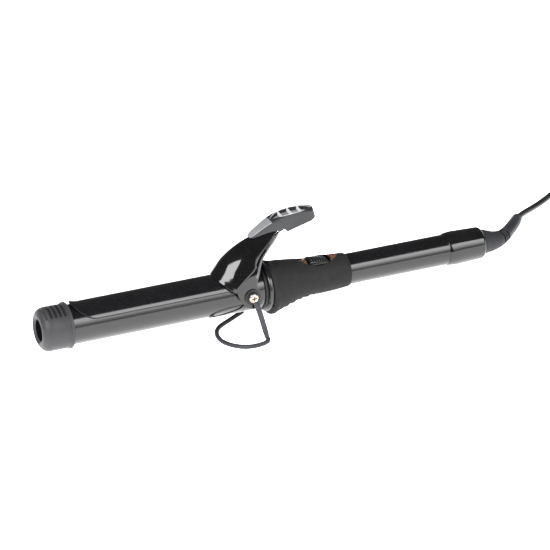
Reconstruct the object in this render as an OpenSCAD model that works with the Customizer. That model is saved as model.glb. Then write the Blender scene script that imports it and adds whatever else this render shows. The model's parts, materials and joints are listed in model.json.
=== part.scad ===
// Curling iron, resting on its wire stand, with its power cord coiled behind it.
// Millimetres. Each piece of the iron is drawn along X with the barrel's axis at Z = 0 and the
// tip towards -X, and place() then sets it down at its resting tilt.

/* [Barrel] */
// Outer radius of the heated barrel
barrel_r = 15.5; // [14.5:0.1:15.5]
// Wall of the barrel tube
barrel_wall = 0.9; // [0.7:0.1:0.9]
// Distance from the neck to the front end of the barrel
barrel_front = 143.1; // [130:0.1:143.1]
// Radius of the cool tip
tip_r = 16.9; // [16.4:0.1:17.4]

/* [Clamp] */
// Thickness of the clamp plate
plate_t = 0.9; // [0.7:0.1:1]
// Half of the angle that the clamp plate wraps round the barrel, in degrees
plate_half_angle = 61; // [50:1:62]
// Thickness of the lever's wall
lever_wall = 1.6; // [1.2:0.1:1.8]
// Radius of the pivot screws' shoulder
pivot_r = 2; // [1.6:0.1:2]
// Running clearance on the pivot
pivot_clearance = 0.05; // [0.03:0.01:0.08]

/* [Stand] */
// Diameter of the stand's wire
wire_d = 3.6; // [2.6:0.1:3.6]

/* [Handle] */
// Outer radius of the handle tube
handle_r = 12.15; // [11.5:0.05:12.15]
// Wall of the handle tube
handle_wall = 2.15; // [1.8:0.05:2.15]
// Distance from the neck to the rear face of the end cap
cap_rear = 202; // [202:1:212]

/* [Cord] */
// Diameter of the power cord
cord_d = 4.8; // [4.4:0.1:5]
// Radius of the coil at the middle of its turns
coil_r = 28.5; // [27:0.5:28.5]

/* [Rest] */
// Tilt of the iron at rest, tip up, in degrees
rest_tilt = 6.5; // [5:0.5:8]

/* [Hidden] */
$fn = 96;
eps = 0.01;

barrel_bore_r = barrel_r - barrel_wall;
barrel_rear = -4;
plate_in_r = barrel_r + 0.3;
plate_out_r = plate_in_r + plate_t;
bridge_out_r = plate_out_r + 1.5;
handle_bore_r = handle_r - handle_wall;
sleeve_in_r = barrel_r + 0.05;
sleeve_out_r = 16.3;
cheek_in = 16.9;
cheek_out = 18.4;
eyelet_in = 19.2;
eyelet_out = 20.5;
screw_head_t = 1.7;
pivot = [-1, 2.3];
rocker_x = 60.8;
rocker_z = 11.8;
rocker_rest = 7;
window_x = 60.5;

// The lowest points at rest are the end cap's rear edge and the stand's loop.
cap_rear_r = 12.8;
cap_edge_r = 2.4;
cap_low = (cap_rear - cap_edge_r) * sin(rest_tilt) + (cap_rear_r - cap_edge_r) * cos(rest_tilt)
    + cap_edge_r;
pivot_height = cap_low;
// The front and rear extremes at rest set the origin at the middle of the length.
tip_front = 167;
tip_edge_r = 7;
front_reach = (tip_front - tip_edge_r) * cos(rest_tilt) + (tip_r - tip_edge_r) * sin(rest_tilt)
    + tip_edge_r;
rear_reach = (cap_rear - cap_edge_r) * cos(rest_tilt)
    + (cap_rear_r - cap_edge_r) * sin(rest_tilt) + cap_edge_r;
origin_x = (front_reach - rear_reach) / 2;

// The top line and the lower edge of the lever's hood, station by station from the barrel up
// to the thumb pad, as [x, z], with the half width at the lower edge.
hood_top = [
    [-26.4, 18.4], [-23.6, 21.6], [-18.5, 27.9], [-10.3, 34.6], [-2, 39.7], [5.4, 43.3],
    [11.2, 46.2], [16.4, 48.7], [21.6, 50.6], [30, 53], [49, 55.5]
];
hood_edge = [
    [-13.2, 8.2], [-12, 10.4], [-8.2, 14.5], [-2.6, 19.3], [3.6, 22.4], [8.3, 28], [12.6, 34],
    [17.2, 39.6], [23, 45.6], [30.5, 48.4], [49, 50.5]
];
hood_half_width = [18.3, 18.3, 18.2, 17.6, 15.8, 12.2, 9.8, 8.2, 7, 5, 4.6];

// Centre line of the stand's near arm, from the eyelet down, as [x, y, z]; the far one mirrors it
stand_arm = [
    [-0.8, -19.9, 0.4], [0.4, -20.3, -2.2], [1.7, -20.9, -5], [4.1, -21.8, -12.9],
    [6.3, -23, -22], [8.2, -24.2, -30.2]
];
// The loop that lies on the table, from the near arm round to the far one, as [x, y]
stand_foot = [
    [8.9, -25.4], [7.2, -27.4], [3, -28.8], [-4, -28.1], [-11, -24.8], [-17.6, -17.4],
    [-21.4, -8.7], [-22, -2], [-21.2, 3.7], [-19, 9.1], [-15.8, 13], [-11.2, 15.9],
    [-3.6, 19.3], [2.5, 22.2], [7, 24.2], [8.8, 25]
];

// Centre line of the strain relief, in the iron's own frame, with its radius along it.
relief_path = [
    [202.3, 0, 0], [203.3, 0, 0], [206.5, -0.15, -0.25], [211, -0.4, -0.8], [216, 0, -1],
    [220, 1.2, -1], [224, 3.3, -0.8], [228, 6.2, -0.5], [233, 10.6, -0.2], [239, 16, 0],
    [244.5, 21.6, 0], [249.2, 26.8, 0]
];
relief_radius = [10.2, 10.2, 9.7, 9, 8.2, 7.4, 6.5, 5.8, 5, 4.4, 4.2, 3.9];

// Route of the cord from the strain relief to its coil, standing on the table.
cord_route = [
    [229.1, 25.8, 7.2], [234.2, 29.9, 6.6], [241, 34.7, 5.5], [250, 40, 4], [260, 45.6, 2.8],
    [268, 50, 2.4], [277, 54.7, 2.4], [287, 58.4, 2.4], [297, 60.2, 2.5], [308, 60.4, 2.8],
    [320, 60.1, 3.1]
];
coil_centre = [318, 24.4];
coil_base = 0.7;
layer_rise = cord_d * sqrt(3) / 2;
coil_top = coil_base + cord_d + 2 * layer_rise;
// The cord's last stretch leaves the top of the coil and turns into the plug.
tail_leave = 18;
tail_bend_r = 20;
tail_sweep = 70;
plug_w = 35;
plug_h = 13.7;
plug_l = 30;
plug_z = coil_top + 0.2 + plug_h / 2;
tail_end_angle = tail_leave - tail_sweep;
plug_heading = tail_end_angle - 90;
tail_centre = [
    (coil_r - tail_bend_r) * cos(tail_leave), (coil_r - tail_bend_r) * sin(tail_leave)
];

// ---------- shared helpers ----------

module place() {
    translate([origin_x, 0, pivot_height]) rotate([0, rest_tilt, 0]) children();
}

// A turned piece about the X axis, from an outline of [radius, x] points
module turned(points) {
    rotate([0, 90, 0]) rotate_extrude() polygon(points);
}

module rod_x(r, x0, x1) {
    translate([x0, 0, 0]) rotate([0, 90, 0]) cylinder(r = r, h = x1 - x0);
}

module tube_x(r_out, r_in, x0, x1) {
    difference() {
        rod_x(r_out, x0, x1);
        rod_x(r_in, x0 - 1, x1 + 1);
    }
}

module rod_y(r, y0, y1) {
    translate([0, y0, 0]) rotate([-90, 0, 0]) cylinder(r = r, h = y1 - y0);
}

module block(x, y, z) {
    translate([x[0], y[0], z[0]]) cube([x[1] - x[0], y[1] - y[0], z[1] - z[0]]);
}

// An outline of [x, z] points given a thickness between two y values
module slab_y(points, y0, y1) {
    translate([0, y1, 0]) rotate([90, 0, 0]) linear_extrude(y1 - y0) polygon(points);
}

// At the pivot of the clamp and the stand
module at_pivot() {
    translate([pivot[0], 0, pivot[1]]) children();
}

module both_sides() {
    children();
    mirror([0, 1, 0]) children();
}

// Points of an arc, for outlines
function arc(cx, cy, r, a0, a1, n) =
    [for (i = [0:n]) [cx + r * cos(a0 + (a1 - a0) * i / n), cy + r * sin(a0 + (a1 - a0) * i / n)]];

function unit(v) = v / norm(v);

function heading(path, i) =
    unit(path[min(i + 1, len(path) - 1)] - path[max(i - 1, 0)]);

// A tube of changing radius along a path; up must never lie along the path
module swept_tube(path, radii, sides, up = [0, 0, 1]) {
    rings = [
        for (i = [0:len(path) - 1])
            let (t = heading(path, i), a = unit(cross(up, t)), b = cross(t, a))
                for (k = [0:sides - 1])
                    path[i] + radii[i] * (a * cos(360 * k / sides) + b * sin(360 * k / sides))
    ];
    last = (len(path) - 1) * sides;
    faces = concat(
        [[for (k = [0:sides - 1]) k]],
        [
            for (i = [0:len(path) - 2], k = [0:sides - 1])
                let (n = (k + 1) % sides)
                    [i * sides + k, (i + 1) * sides + k, (i + 1) * sides + n, i * sides + n]
        ],
        [[for (k = [sides - 1:-1:0]) last + k]]
    );
    polyhedron(rings, faces);
}

function same(value, path) = [for (p = path) value];

// ---------- barrel and heater ----------

module cool_tip() {
    color("dimgray") place() difference() {
        turned(concat(
            [
                [7.7, -tip_front], [7.7, -149], [1.7, -149], [1.7, -146], [9.4, -146],
                [9.4, -160], [12.8, -158], [12.8, -137.5], [14.4, -137.5],
                [14.4, -143.2], [17.75, -143.2], [17.75, -145.4], [tip_r, -146]
            ],
            arc(tip_r - tip_edge_r, -tip_front + tip_edge_r, tip_edge_r, 0, -90, 10)
        ));
        for (i = [0:4])
            rotate([0, 90, 0]) rotate([0, 0, 138])
                rotate_extrude(angle = 84)
                    translate([15.7, -163.2 + 3.6 * i]) square([4, 1.8]);
    }
}

module tip_plug() {
    color("tan") place() turned([
        [1.3, -145.9], [4, -145.9], [4, -136], [14.5, -136], [14.5, -128], [13, -128],
        [13, -134], [1.3, -134]
    ]);
}

module tip_screw() {
    color("silver") place() difference() {
        union() {
            rod_x(1.25, -149.1, -136);
            turned([[0, -151.2], [2.2, -151.2], [3, -150.4], [3, -149.05], [0, -149.05]]);
        }
        block([-152, -150.2], [-0.4, 0.4], [-1.8, 1.8]);
        block([-152, -150.2], [-1.8, 1.8], [-0.4, 0.4]);
    }
}

module barrel() {
    color("black") place() tube_x(barrel_r, barrel_bore_r, -barrel_front, barrel_rear);
}

// One half of the spreader that carries heat from the ceramic to the barrel
module heater_shell() {
    spreader_r = barrel_bore_r - 0.05;
    intersection() {
        tube_x(spreader_r, spreader_r - 1.1, -112, -42);
        slab_y([[-112, 5.5], [-42, 5.5], [-42, 20], [-112, 20]], -20, 20);
    }
    block([-112, -42], [-9, 9], [1.9, 3.1]);
    both_sides() block([-112, -42], [7.6, 8.8], [3, 11.4]);
}

module heater_shell_upper() {
    color("silver") place() heater_shell();
}

module heater_shell_lower() {
    color("silver") place() mirror([0, 0, 1]) heater_shell();
}

module ptc_heater() {
    color("darkslategray") place()
        for (i = [0:2]) block([-110 + 23 * i, -89 + 23 * i], [-7, 7], [-1.1, 1.1]);
}

module electrode_plates() {
    color("gold") place() {
        block([-110.5, -40], [-6.5, 6.5], [1.1, 1.4]);
        block([-110.5, -40], [-6.5, 6.5], [-1.4, -1.1]);
    }
}

module insulating_film() {
    color("orange") place() difference() {
        block([-111.5, -42.5], [-7.8, 7.8], [-1.75, 1.75]);
        block([-113, -41], [-7.5, 7.5], [-1.45, 1.45]);
    }
}

module thermal_fuse() {
    color("gainsboro") place() translate([0, 5.2, 6.6]) {
        rod_x(2, -40, -29);
        rod_x(0.5, -43.5, -40 + eps);
        rod_x(0.5, -29 - eps, -25);
    }
}

module temperature_sensor() {
    color("goldenrod") place() translate([0, -5.2, 6.6]) {
        rod_x(1.5, -40, -32);
        translate([-40, 0, 0]) sphere(1.5);
    }
}

module heater_leads() {
    color("white") place() {
        swept_tube(
            [[-40.2, 3, 2.6], [-30, 3, 2.6], [0, 3.2, 3], [30, 3.4, 4.3], [41, 3.4, 4.4]],
            same(1.1, [0, 0, 0, 0, 0]), 8
        );
        swept_tube(
            [[-40.2, -3, -2.6], [-30, -3, -2.6], [0, -3.2, -3], [30, -3.4, -1], [41, -3.4, -0.6]],
            same(1.1, [0, 0, 0, 0, 0]), 8
        );
    }
}

module sensor_leads() {
    fuse = [
        [-24.9, 5.2, 6.6], [-22.5, 4, 5.6], [-20, 2.4, 4.9], [-14, 1.2, 4.9], [20, 1.1, 5],
        [41, 1, 4.2]
    ];
    sensor = [
        [-31.9, -5.2, 6.6], [-24, -4.6, 6], [-20, -2.4, 4.9], [-14, -1.2, 4.9], [20, -1.1, 5],
        [41, -1, 4.2]
    ];
    color("ivory") place() for (path = [fuse, sensor]) swept_tube(path, same(0.6, path), 6);
}

// ---------- neck ----------

// Core that plugs into the barrel and the handle, with a pocket for a spring at each side
module barrel_holder() {
    color("dimgray") place() difference() {
        turned([
            [6, -18], [14.45, -18], [14.45, -3.9], [15.45, -3.9], [15.45, 11], [9.95, 11],
            [9.95, 34], [8, 34], [8, 14], [6, 10]
        ]);
        both_sides() {
            at_pivot() {
                rod_y(5.2, 8.2, 13.7);
                rod_y(pivot_r, 13, 18);
                rod_y(1.5, 4, 9);
            }
            block([-7, 12], [9.5, 12.1], [1, 20]);
        }
    }
}

module neck_sleeve() {
    color("dimgray") place() difference() {
        tube_x(sleeve_out_r, sleeve_in_r, -33, 11);
        slab_y(
            [
                [-40, 30], [-40, -16.4], [-33, -16.2], [-28, -14.6], [-21, -12.6], [-14, -10.4],
                [-9.5, -8], [-6.5, -4], [-6.5, 30]
            ],
            -30, 30
        );
        both_sides() {
            at_pivot() rod_y(pivot_r, 13, 18);
            block([-7, 10], [9.5, 12.1], [1, 20]);
        }
    }
}

module collar_seal() {
    color("black") place() turned([
        [10, 11.05], [17.1, 11.05], [17.5, 11.5], [17.5, 12.4], [17.1, 12.85], [10, 12.85]
    ]);
}

module collar_ring() {
    color("gray") place() turned(concat(
        [[10, 12.9], [17.4, 12.9]],
        arc(18.2, 14.6, 1.4, -90, 0, 6),
        arc(18.2, 15.6, 1.4, 0, 90, 6),
        [[10, 17]]
    ));
}

// ---------- clamp ----------

// Outline of the plate from above, with a half-elliptical front
function plate_outline(w) = concat(
    [[-9, w], [-123.5, w]],
    [for (i = [1:11]) [-123.5 - 17.5 * sin(90 * i / 12), w * cos(90 * i / 12)]],
    [[-141, 0]],
    [for (i = [11:-1:1]) [-123.5 - 17.5 * sin(90 * i / 12), -w * cos(90 * i / 12)]],
    [[-123.5, -w], [-9, -w]]
);

module clamp_plate() {
    color("black") place() difference() {
        intersection() {
            tube_x(plate_out_r, plate_in_r, -141.5, -8);
            linear_extrude(30) polygon(plate_outline(plate_out_r * sin(plate_half_angle)));
        }
        for (x = [-20, -12]) translate([x, 0, 10]) cylinder(r = 1.3, h = 10);
    }
}

// Points along one arch of the hood, inset from the outer surface
function arch(i, inset, n) =
    let (top = hood_top[i], edge = hood_edge[i], across = top - edge, reach = norm(across) - inset)
        [
            for (k = [0:n])
                let (a = 180 * k / n, p = edge + unit(across) * reach * pow(sin(a), 0.9))
                    [p[0], -(hood_half_width[i] - inset) * cos(a), p[1]]
        ];

// The hood: a channel whose ring at each station runs over the outside and back inside
module hood_shell() {
    n = 16;
    count = len(hood_top);
    ring = 2 * (n + 1);
    points = [
        for (i = [0:count - 1])
            let (outside = arch(i, 0, n), inside = arch(i, lever_wall, n))
                each concat(outside, [for (k = [n:-1:0]) inside[k]])
    ];
    faces = concat(
        [
            for (k = [0:n - 1])
                [ring - 1 - k, ring - 2 - k, k + 1, k]
        ],
        [
            for (i = [0:count - 2], k = [0:ring - 1])
                let (m = (k + 1) % ring)
                    [i * ring + m, (i + 1) * ring + m, (i + 1) * ring + k, i * ring + k]
        ],
        [
            for (k = [0:n - 1])
                let (o = (count - 1) * ring)
                    [o + k, o + k + 1, o + ring - 2 - k, o + ring - 1 - k]
        ]
    );
    polyhedron(points, faces);
}

module cheek() {
    slab_y(
        [
            [-13.6, 9.2], [-13, 7.4], [-10.1, -0.1], [-6.2, -4.6], [0, -2], [6.8, 3.8],
            [4.5, 6.4], [2.2, 11], [2.6, 16], [4.4, 22], [3, 23.6], [-2.6, 21], [-8.4, 16.4]
        ],
        cheek_in, cheek_out - 0.3
    );
    rod_y(8, cheek_in, cheek_out);
}

module clamp_lever() {
    color("black") place() difference() {
        union() {
            hood_shell();
            both_sides() cheek();
            intersection() {
                tube_x(bridge_out_r, plate_out_r, -24, -8);
                slab_y([[-24, 8], [-8, 12], [-8, 25], [-24, 25]], -20, 20);
            }
        }
        both_sides() at_pivot() rod_y(pivot_r + pivot_clearance, 12, 24);
        for (x = [-20, -12]) translate([x, 0, 10]) cylinder(r = 1.3, h = 10);
    }
}

module clamp_rivets() {
    color("silver") place() for (x = [-20, -12]) translate([x, 0, 0]) {
        translate([0, 0, plate_in_r + 0.1]) cylinder(r = 1.3, h = 2.6);
        translate([0, 0, bridge_out_r]) cylinder(r = 2.3, h = 0.9);
    }
}

// Half width of the thumb pad along its length
module pad_plan(grow) {
    hull() {
        translate([9, 0]) circle(4.6 + grow, $fn = 32);
        translate([24, 0]) circle(6.4 + grow, $fn = 32);
        translate([47.6, 0]) circle(6.9 + grow, $fn = 32);
    }
}

module thumb_pad() {
    outline = [
        [3.8, 43.8], [9, 47.8], [15, 51.8], [21, 55.2], [27, 57.6], [33, 59], [40, 59.8],
        [47, 59.9], [53.6, 59.4], [54.6, 52], [50, 49.4], [42, 46.6], [33.6, 44], [31.6, 46.6],
        [25, 46.2], [18, 46], [9, 43]
    ];
    color("dimgray") place() difference() {
        intersection() {
            slab_y(outline, -10, 10);
            linear_extrude(80) pad_plan(0);
        }
        hood_core();
        // thumb recess, leaving three ribs across it
        intersection() {
            difference() {
                translate([37, 0, 54.5]) rotate([0, -4, 0]) linear_extrude(10)
                    hull() {
                        translate([-11.5, 0]) circle(4.3, $fn = 32);
                        translate([11, 0]) circle(5, $fn = 32);
                    }
                for (x = [29, 36.5, 44]) block([x - 0.6, x + 0.6], [-8, 8], [50, 58.9]);
            }
            slab_y([[20, 53.6], [27, 56], [36, 57.4], [54, 57.6], [54, 70], [20, 70]], -10, 10);
        }
    }
}

// Room for the lever's end inside the thumb pad
module hood_core() {
    n = 16;
    count = len(hood_top);
    ring = n + 1;
    points = [for (i = [0:count - 1]) each arch(i, -0.02, n)];
    faces = concat(
        [[for (k = [n:-1:0]) k]],
        [
            for (i = [0:count - 2], k = [0:n])
                let (m = (k + 1) % ring)
                    [i * ring + m, (i + 1) * ring + m, (i + 1) * ring + k, i * ring + k]
        ],
        [[for (k = [0:n]) (count - 1) * ring + k]]
    );
    polyhedron(points, faces);
}

// A torsion spring round each pivot screw, with a leg that pushes the hood forward
module clamp_spring() {
    turns = 2;
    steps = 12;
    leg_from = 20;
    coil = [
        for (i = [0:turns * steps])
            let (a = leg_from - 360 * turns + 360 * i / steps)
                [4 * cos(a), 8.9 + 1.15 * i / steps, 4 * sin(a)]
    ];
    end = coil[turns * steps];
    leg = [for (l = [4, 12, 18, 23]) end + l * [-sin(leg_from), 0, cos(leg_from)]];
    path = concat(coil, leg);
    color("silver") place() both_sides() at_pivot()
        swept_tube(path, same(0.5, path), 6, [0, 1, 0]);
}

module pivot_screw() {
    difference() {
        union() {
            rod_y(1.45, 6.4, 8.3);
            rod_y(pivot_r, 8.25, eyelet_out + 0.15);
            translate([0, eyelet_out + 0.1, 0]) rotate([-90, 0, 0])
                cylinder(r1 = 3.7, r2 = 3.2, h = screw_head_t);
        }
        block([-0.45, 0.45], [eyelet_out + 0.7, 30], [-2, 2]);
        block([-2, 2], [eyelet_out + 0.7, 30], [-0.45, 0.45]);
    }
}

module pivot_screws() {
    color("silver") place() both_sides() at_pivot() pivot_screw();
}

module pivot_washers() {
    color("black") place() both_sides() at_pivot() difference() {
        rod_y(6.3, cheek_out + 0.1, eyelet_in - 0.1);
        rod_y(pivot_r, 10, 30);
    }
}

// ---------- stand ----------

// Height of the foot wire's centre in the iron's own frame
function foot_z(x) = (wire_d / 2 - pivot_height + x * sin(rest_tilt)) / cos(rest_tilt);

module wire_stand() {
    foot = [for (p = stand_foot) [p[0], p[1], foot_z(p[0])]];
    far_arm = [
        for (i = [len(stand_arm) - 1:-1:0]) [stand_arm[i][0], -stand_arm[i][1], stand_arm[i][2]]
    ];
    path = concat(stand_arm, foot, far_arm);
    color("dimgray") place() difference() {
        union() {
            swept_tube(path, same(wire_d / 2, path), 12, [1, 0, 0.35]);
            both_sides() at_pivot() rod_y(4.1, eyelet_in, eyelet_out);
        }
        both_sides() at_pivot() {
            rod_y(pivot_r + pivot_clearance, 12, 24);
            rod_y(6.6, 12, eyelet_in);
            rod_y(4.6, eyelet_out, 24);
        }
    }
}

// ---------- handle ----------

// The almond-shaped window, as a vertical prism
module window_prism(grow) {
    length = 35 + 2 * grow;
    half = 8 + grow;
    r = (length * length / 4 + half * half) / (2 * half);
    translate([window_x, 0, 8]) intersection() {
        translate([0, half - r, 0]) cylinder(r = r, h = 20);
        translate([0, r - half, 0]) cylinder(r = r, h = 20);
    }
}

module grip_sleeve() {
    flare = 48;
    color("dimgray") place() difference() {
        union() {
            hull() {
                translate([0, 0, -2]) rod_x(20.2, 19, 20, $fn = flare);
                translate([0, 0, -2]) rod_x(20.9, 20.6, 22, $fn = flare);
                translate([0, 0, -1.2]) rod_x(19.2, 29, 30, $fn = flare);
            }
            hull() {
                translate([0, 0, -1.2]) rod_x(19.2, 29.5, 30, $fn = flare);
                rod_x(16.3, 41, 42, $fn = flare);
            }
            hull() {
                rod_x(16.3, 41, 42, $fn = flare);
                rod_x(14.4, 55, 56, $fn = flare);
            }
            turned([[12, 55.5], [14.4, 55.5], [14.2, 70], [13.4, 83], [12.8, 85], [12, 85]]);
        }
        rod_x(handle_r, 10, 90);
        window_prism(0.1);
    }
}

module control_panel() {
    color("peru") place() difference() {
        union() {
            intersection() {
                tube_x(14.35, handle_r + 0.1, 40, 82);
                window_prism(-0.15);
            }
            intersection() {
                block([rocker_x - 10.2, rocker_x + 10.2], [-7.1, 7.1], [9.4, 13.2]);
                window_prism(-0.15);
            }
        }
        intersection() {
            block([rocker_x - 9.2, rocker_x + 9.2], [-6.1, 6.1], [0, 30]);
            window_prism(-1);
        }
        translate([rocker_x, 0, rocker_z]) rod_y(0.8, -6.8, 6.8);
        translate([73.4, 0, 0]) cylinder(r = 1.6, h = 30);
    }
}

module power_rocker() {
    crown = arc(0, -30.8, 33.8, 104, 76, 12);
    color("black") place() translate([rocker_x, 0, rocker_z]) rotate([0, rocker_rest, 0])
        difference() {
            union() {
                intersection() {
                    slab_y(concat(crown, [[8.1, -1.2], [-8.1, -1.2]]), -5.8, 5.8);
                    translate([-rocker_x, 0, -rocker_z]) window_prism(-1.4);
                    translate([0, 0, -rocker_z]) rod_x(14.8, -9, 9);
                }
                intersection() {
                    for (i = [-3:3])
                        translate([2.1 * i, 0, 0]) block([-0.4, 0.4], [-4.4, 4.4], [1, 4]);
                    translate([0, 0, -rocker_z]) rod_x(15.1, -9, 9);
                    translate([0, 0, -30.8]) rod_y(34.1, -5, 5);
                }
            }
            rod_y(0.86, -8, 8);
        }
}

module rocker_pin() {
    color("silver") place() translate([rocker_x, 0, rocker_z]) rod_y(0.8, -6.7, 6.7);
}

module indicator_lens() {
    color("red") place() translate([73.4, 0, 12.3]) {
        cylinder(r = 1.6, h = 1.9);
        translate([0, 0, 1.7]) cylinder(r1 = 1.6, r2 = 1.1, h = 0.6);
    }
}

module circuit_board() {
    color("darkgreen") place() {
        block([38, 98], [-8.4, 8.4], [1.3, 2.9]);
        block([40, 46], [-7, -2], [2.85, 6]);
        translate([88, -3.5, 2.85]) cylinder(r = 3, h = 5.2);
        block([90, 96], [1.5, 6.5], [2.85, 6.4]);
        translate([73.4, 0, 2.85]) cylinder(r = 1.5, h = 7.6);
    }
}

module switch_body() {
    color("black") place() {
        block([rocker_x - 8.6, rocker_x + 8.6], [-3.7, 3.7], [2.95, 8.2]);
        block([rocker_x - 1, rocker_x + 1], [-1, 1], [8.1, 9.3]);
    }
}

module mains_wires() {
    live = [
        [97, 2.4, 4], [110, 3, 4], [150, 3, 5], [175, 1.5, 7], [178, 0.8, 7.3], [184.1, 0, 7.3]
    ];
    neutral = [
        [97, -2.4, 0.2], [110, -3, 0], [150, -3, -4], [175, -1.5, -7], [178, -0.8, -7.2],
        [184.1, 0, -7.2]
    ];
    color("saddlebrown") place() {
        swept_tube(live, same(1, live), 8);
        swept_tube(neutral, same(1, neutral), 8);
    }
}

module handle_tube() {
    color("black") place() difference() {
        tube_x(handle_r, handle_bore_r, 17.1, 182);
        block([rocker_x - 10.4, 75.6], [-7.3, 7.3], [0, 20]);
        translate([176, 0, -20]) cylinder(r = 1.1, h = 15);
        translate([28, 0, -20]) cylinder(r = 1.2, h = 15);
    }
}

module holder_screw() {
    color("silver") place() translate([28, 0, -12.1]) cylinder(r = 1.2, h = 2.05);
}

module end_cap() {
    color("black") place() difference() {
        turned(concat(
            [[6.6, 199.2], [10.1, 199.2], [10.1, 182.1], [12.2, 182.1], [12.2, 170], [12.4, 170],
                [13.1, 173.5], [13.5, 178]],
            arc(cap_rear_r - cap_edge_r, cap_rear - cap_edge_r, cap_edge_r, 0, 90, 8),
            [[6.6, cap_rear]]
        ));
        translate([176, 0, -20]) cylinder(r = 1.1, h = 15);
        translate([176, 0, -15]) cylinder(r = 2.2, h = 2.2);
    }
}

module cap_screw() {
    color("silver") place() translate([176, 0, 0]) {
        translate([0, 0, -12.8]) cylinder(r = 1.1, h = 2.8);
        difference() {
            translate([0, 0, -13.3]) cylinder(r = 2.1, h = 0.5);
            block([-0.3, 0.3], [-1.4, 1.4], [-14, -13.05]);
            block([-1.4, 1.4], [-0.3, 0.3], [-14, -13.05]);
        }
    }
}

// ---------- cord swivel ----------

module swivel_bushing() {
    color("dimgray") place() turned([
        [6.05, 190], [6.05, 199.1], [10.05, 199.1], [10.05, 182.2], [8.3, 182.2], [8.3, 190]
    ]);
}

module contact_brushes() {
    color("gold") place() {
        block([184.5, 185.5], [-1.2, 1.2], [6.5, 8.1]);
        block([186.5, 187.5], [-1.2, 1.2], [-8.1, -6.5]);
        block([184.3, 187.5], [-1.2, 1.2], [-8.1, -7.5]);
    }
}

module swivel_spindle() {
    color("gray") place() turned([
        [0, 183.6], [5.2, 183.6], [5.2, 188.2], [7.6, 188.2], [7.6, 189.8], [6, 189.8],
        [6, 202.3], [0, 202.3]
    ]);
}

module contact_rings() {
    color("gold") place() {
        tube_x(6.4, 5.2, 184.3, 185.7);
        tube_x(6.4, 5.2, 186.3, 187.7);
    }
}

module strain_relief() {
    color("dimgray") place() swept_tube(relief_path, relief_radius, 24);
}

// ---------- cord, coil and plug, standing on the table ----------

module power_cord() {
    color("black") swept_tube(cord_route, same(cord_d / 2, cord_route), 8);
}

// Outline of the coil's bundle, with its turns stacked four, three and two, grown by g
function bundle(g) = [
    [coil_r - 9.2 - g, coil_base - g], [coil_r + 9.2 + g, coil_base - g],
    [coil_r + 9.6 + g, coil_base + 0.5], [coil_r + 9.6 + g, coil_base + 3.9],
    [coil_r + 5 + g, coil_top - 0.9 + g / 2], [coil_r + 4 + g, coil_top + g],
    [coil_r - 4 - g, coil_top + g], [coil_r - 5 - g, coil_top - 0.9 + g / 2],
    [coil_r - 9.6 - g, coil_base + 3.9], [coil_r - 9.6 - g, coil_base + 0.5]
];

module at_coil() {
    translate([coil_centre[0], coil_centre[1], 0]) children();
}

module cord_coil() {
    color("black") at_coil() rotate_extrude() polygon(bundle(0));
}

module cord_tail() {
    climb = [
        for (i = [0:5])
            let (a = 150 - i * (150 - tail_leave) / 6, s = i / 6)
                [coil_r * cos(a), coil_r * sin(a), coil_top - 2.4 + 4.2 * min(1, s * 2)]
    ];
    bend = [
        for (i = [0:7])
            let (a = tail_leave - tail_sweep * i / 7, s = i / 7)
                [
                    tail_centre[0] + tail_bend_r * cos(a), tail_centre[1] + tail_bend_r * sin(a),
                    coil_top + 1.8 + (plug_z - coil_top - 1.8) * s
                ]
    ];
    path = concat(climb, bend);
    color("black") at_coil() swept_tube(path, same(cord_d / 2, path), 8);
}

module cord_tie() {
    color("black") at_coil() rotate([0, 0, 190]) rotate_extrude(angle = 14) difference() {
        polygon(bundle(0.65));
        polygon(bundle(0.02));
    }
}

// Frame of the plug: X runs along it from the cord to the pins
module at_plug() {
    at_coil() translate([
        tail_centre[0] + tail_bend_r * cos(tail_end_angle),
        tail_centre[1] + tail_bend_r * sin(tail_end_angle), plug_z
    ]) rotate([0, 0, plug_heading]) children();
}

module plug_body() {
    half = plug_w / 2;
    color("black") at_plug() intersection() {
        linear_extrude(plug_h, center = true) polygon([
            [0, -4.5], [4, -5], [12, -9], [15, -half], [plug_l, -half], [plug_l, half],
            [15, half], [12, 9], [4, 5], [0, 4.5]
        ]);
        rotate([90, 0, 90]) linear_extrude(plug_l + 1) polygon([
            [-half, 0], [-half + 4, -plug_h / 2], [half - 4, -plug_h / 2], [half, 0],
            [half - 4, plug_h / 2], [-half + 4, plug_h / 2]
        ]);
    }
}

module plug_pins() {
    color("silver") at_plug() for (y = [-9, 9]) translate([0, y, 0])
        rotate([0, 90, 0]) translate([0, 0, plug_l]) {
            cylinder(r = 2, h = 18);
            translate([0, 0, 18]) cylinder(r1 = 2, r2 = 1.2, h = 1);
        }
}

cool_tip();
tip_plug();
tip_screw();
barrel();
heater_shell_upper();
heater_shell_lower();
ptc_heater();
electrode_plates();
insulating_film();
thermal_fuse();
temperature_sensor();
heater_leads();
sensor_leads();
barrel_holder();
neck_sleeve();
collar_seal();
collar_ring();
clamp_plate();
clamp_lever();
clamp_rivets();
thumb_pad();
clamp_spring();
pivot_screws();
pivot_washers();
wire_stand();
grip_sleeve();
control_panel();
power_rocker();
rocker_pin();
indicator_lens();
circuit_board();
switch_body();
mains_wires();
handle_tube();
holder_screw();
end_cap();
cap_screw();
swivel_bushing();
contact_brushes();
swivel_spindle();
contact_rings();
strain_relief();
power_cord();
cord_coil();
cord_tail();
cord_tie();
plug_body();
plug_pins();
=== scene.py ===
"""Looks of the curling iron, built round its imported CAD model."""

import json
import math

import bmesh
import bpy
from mathutils import Matrix, Vector


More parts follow.
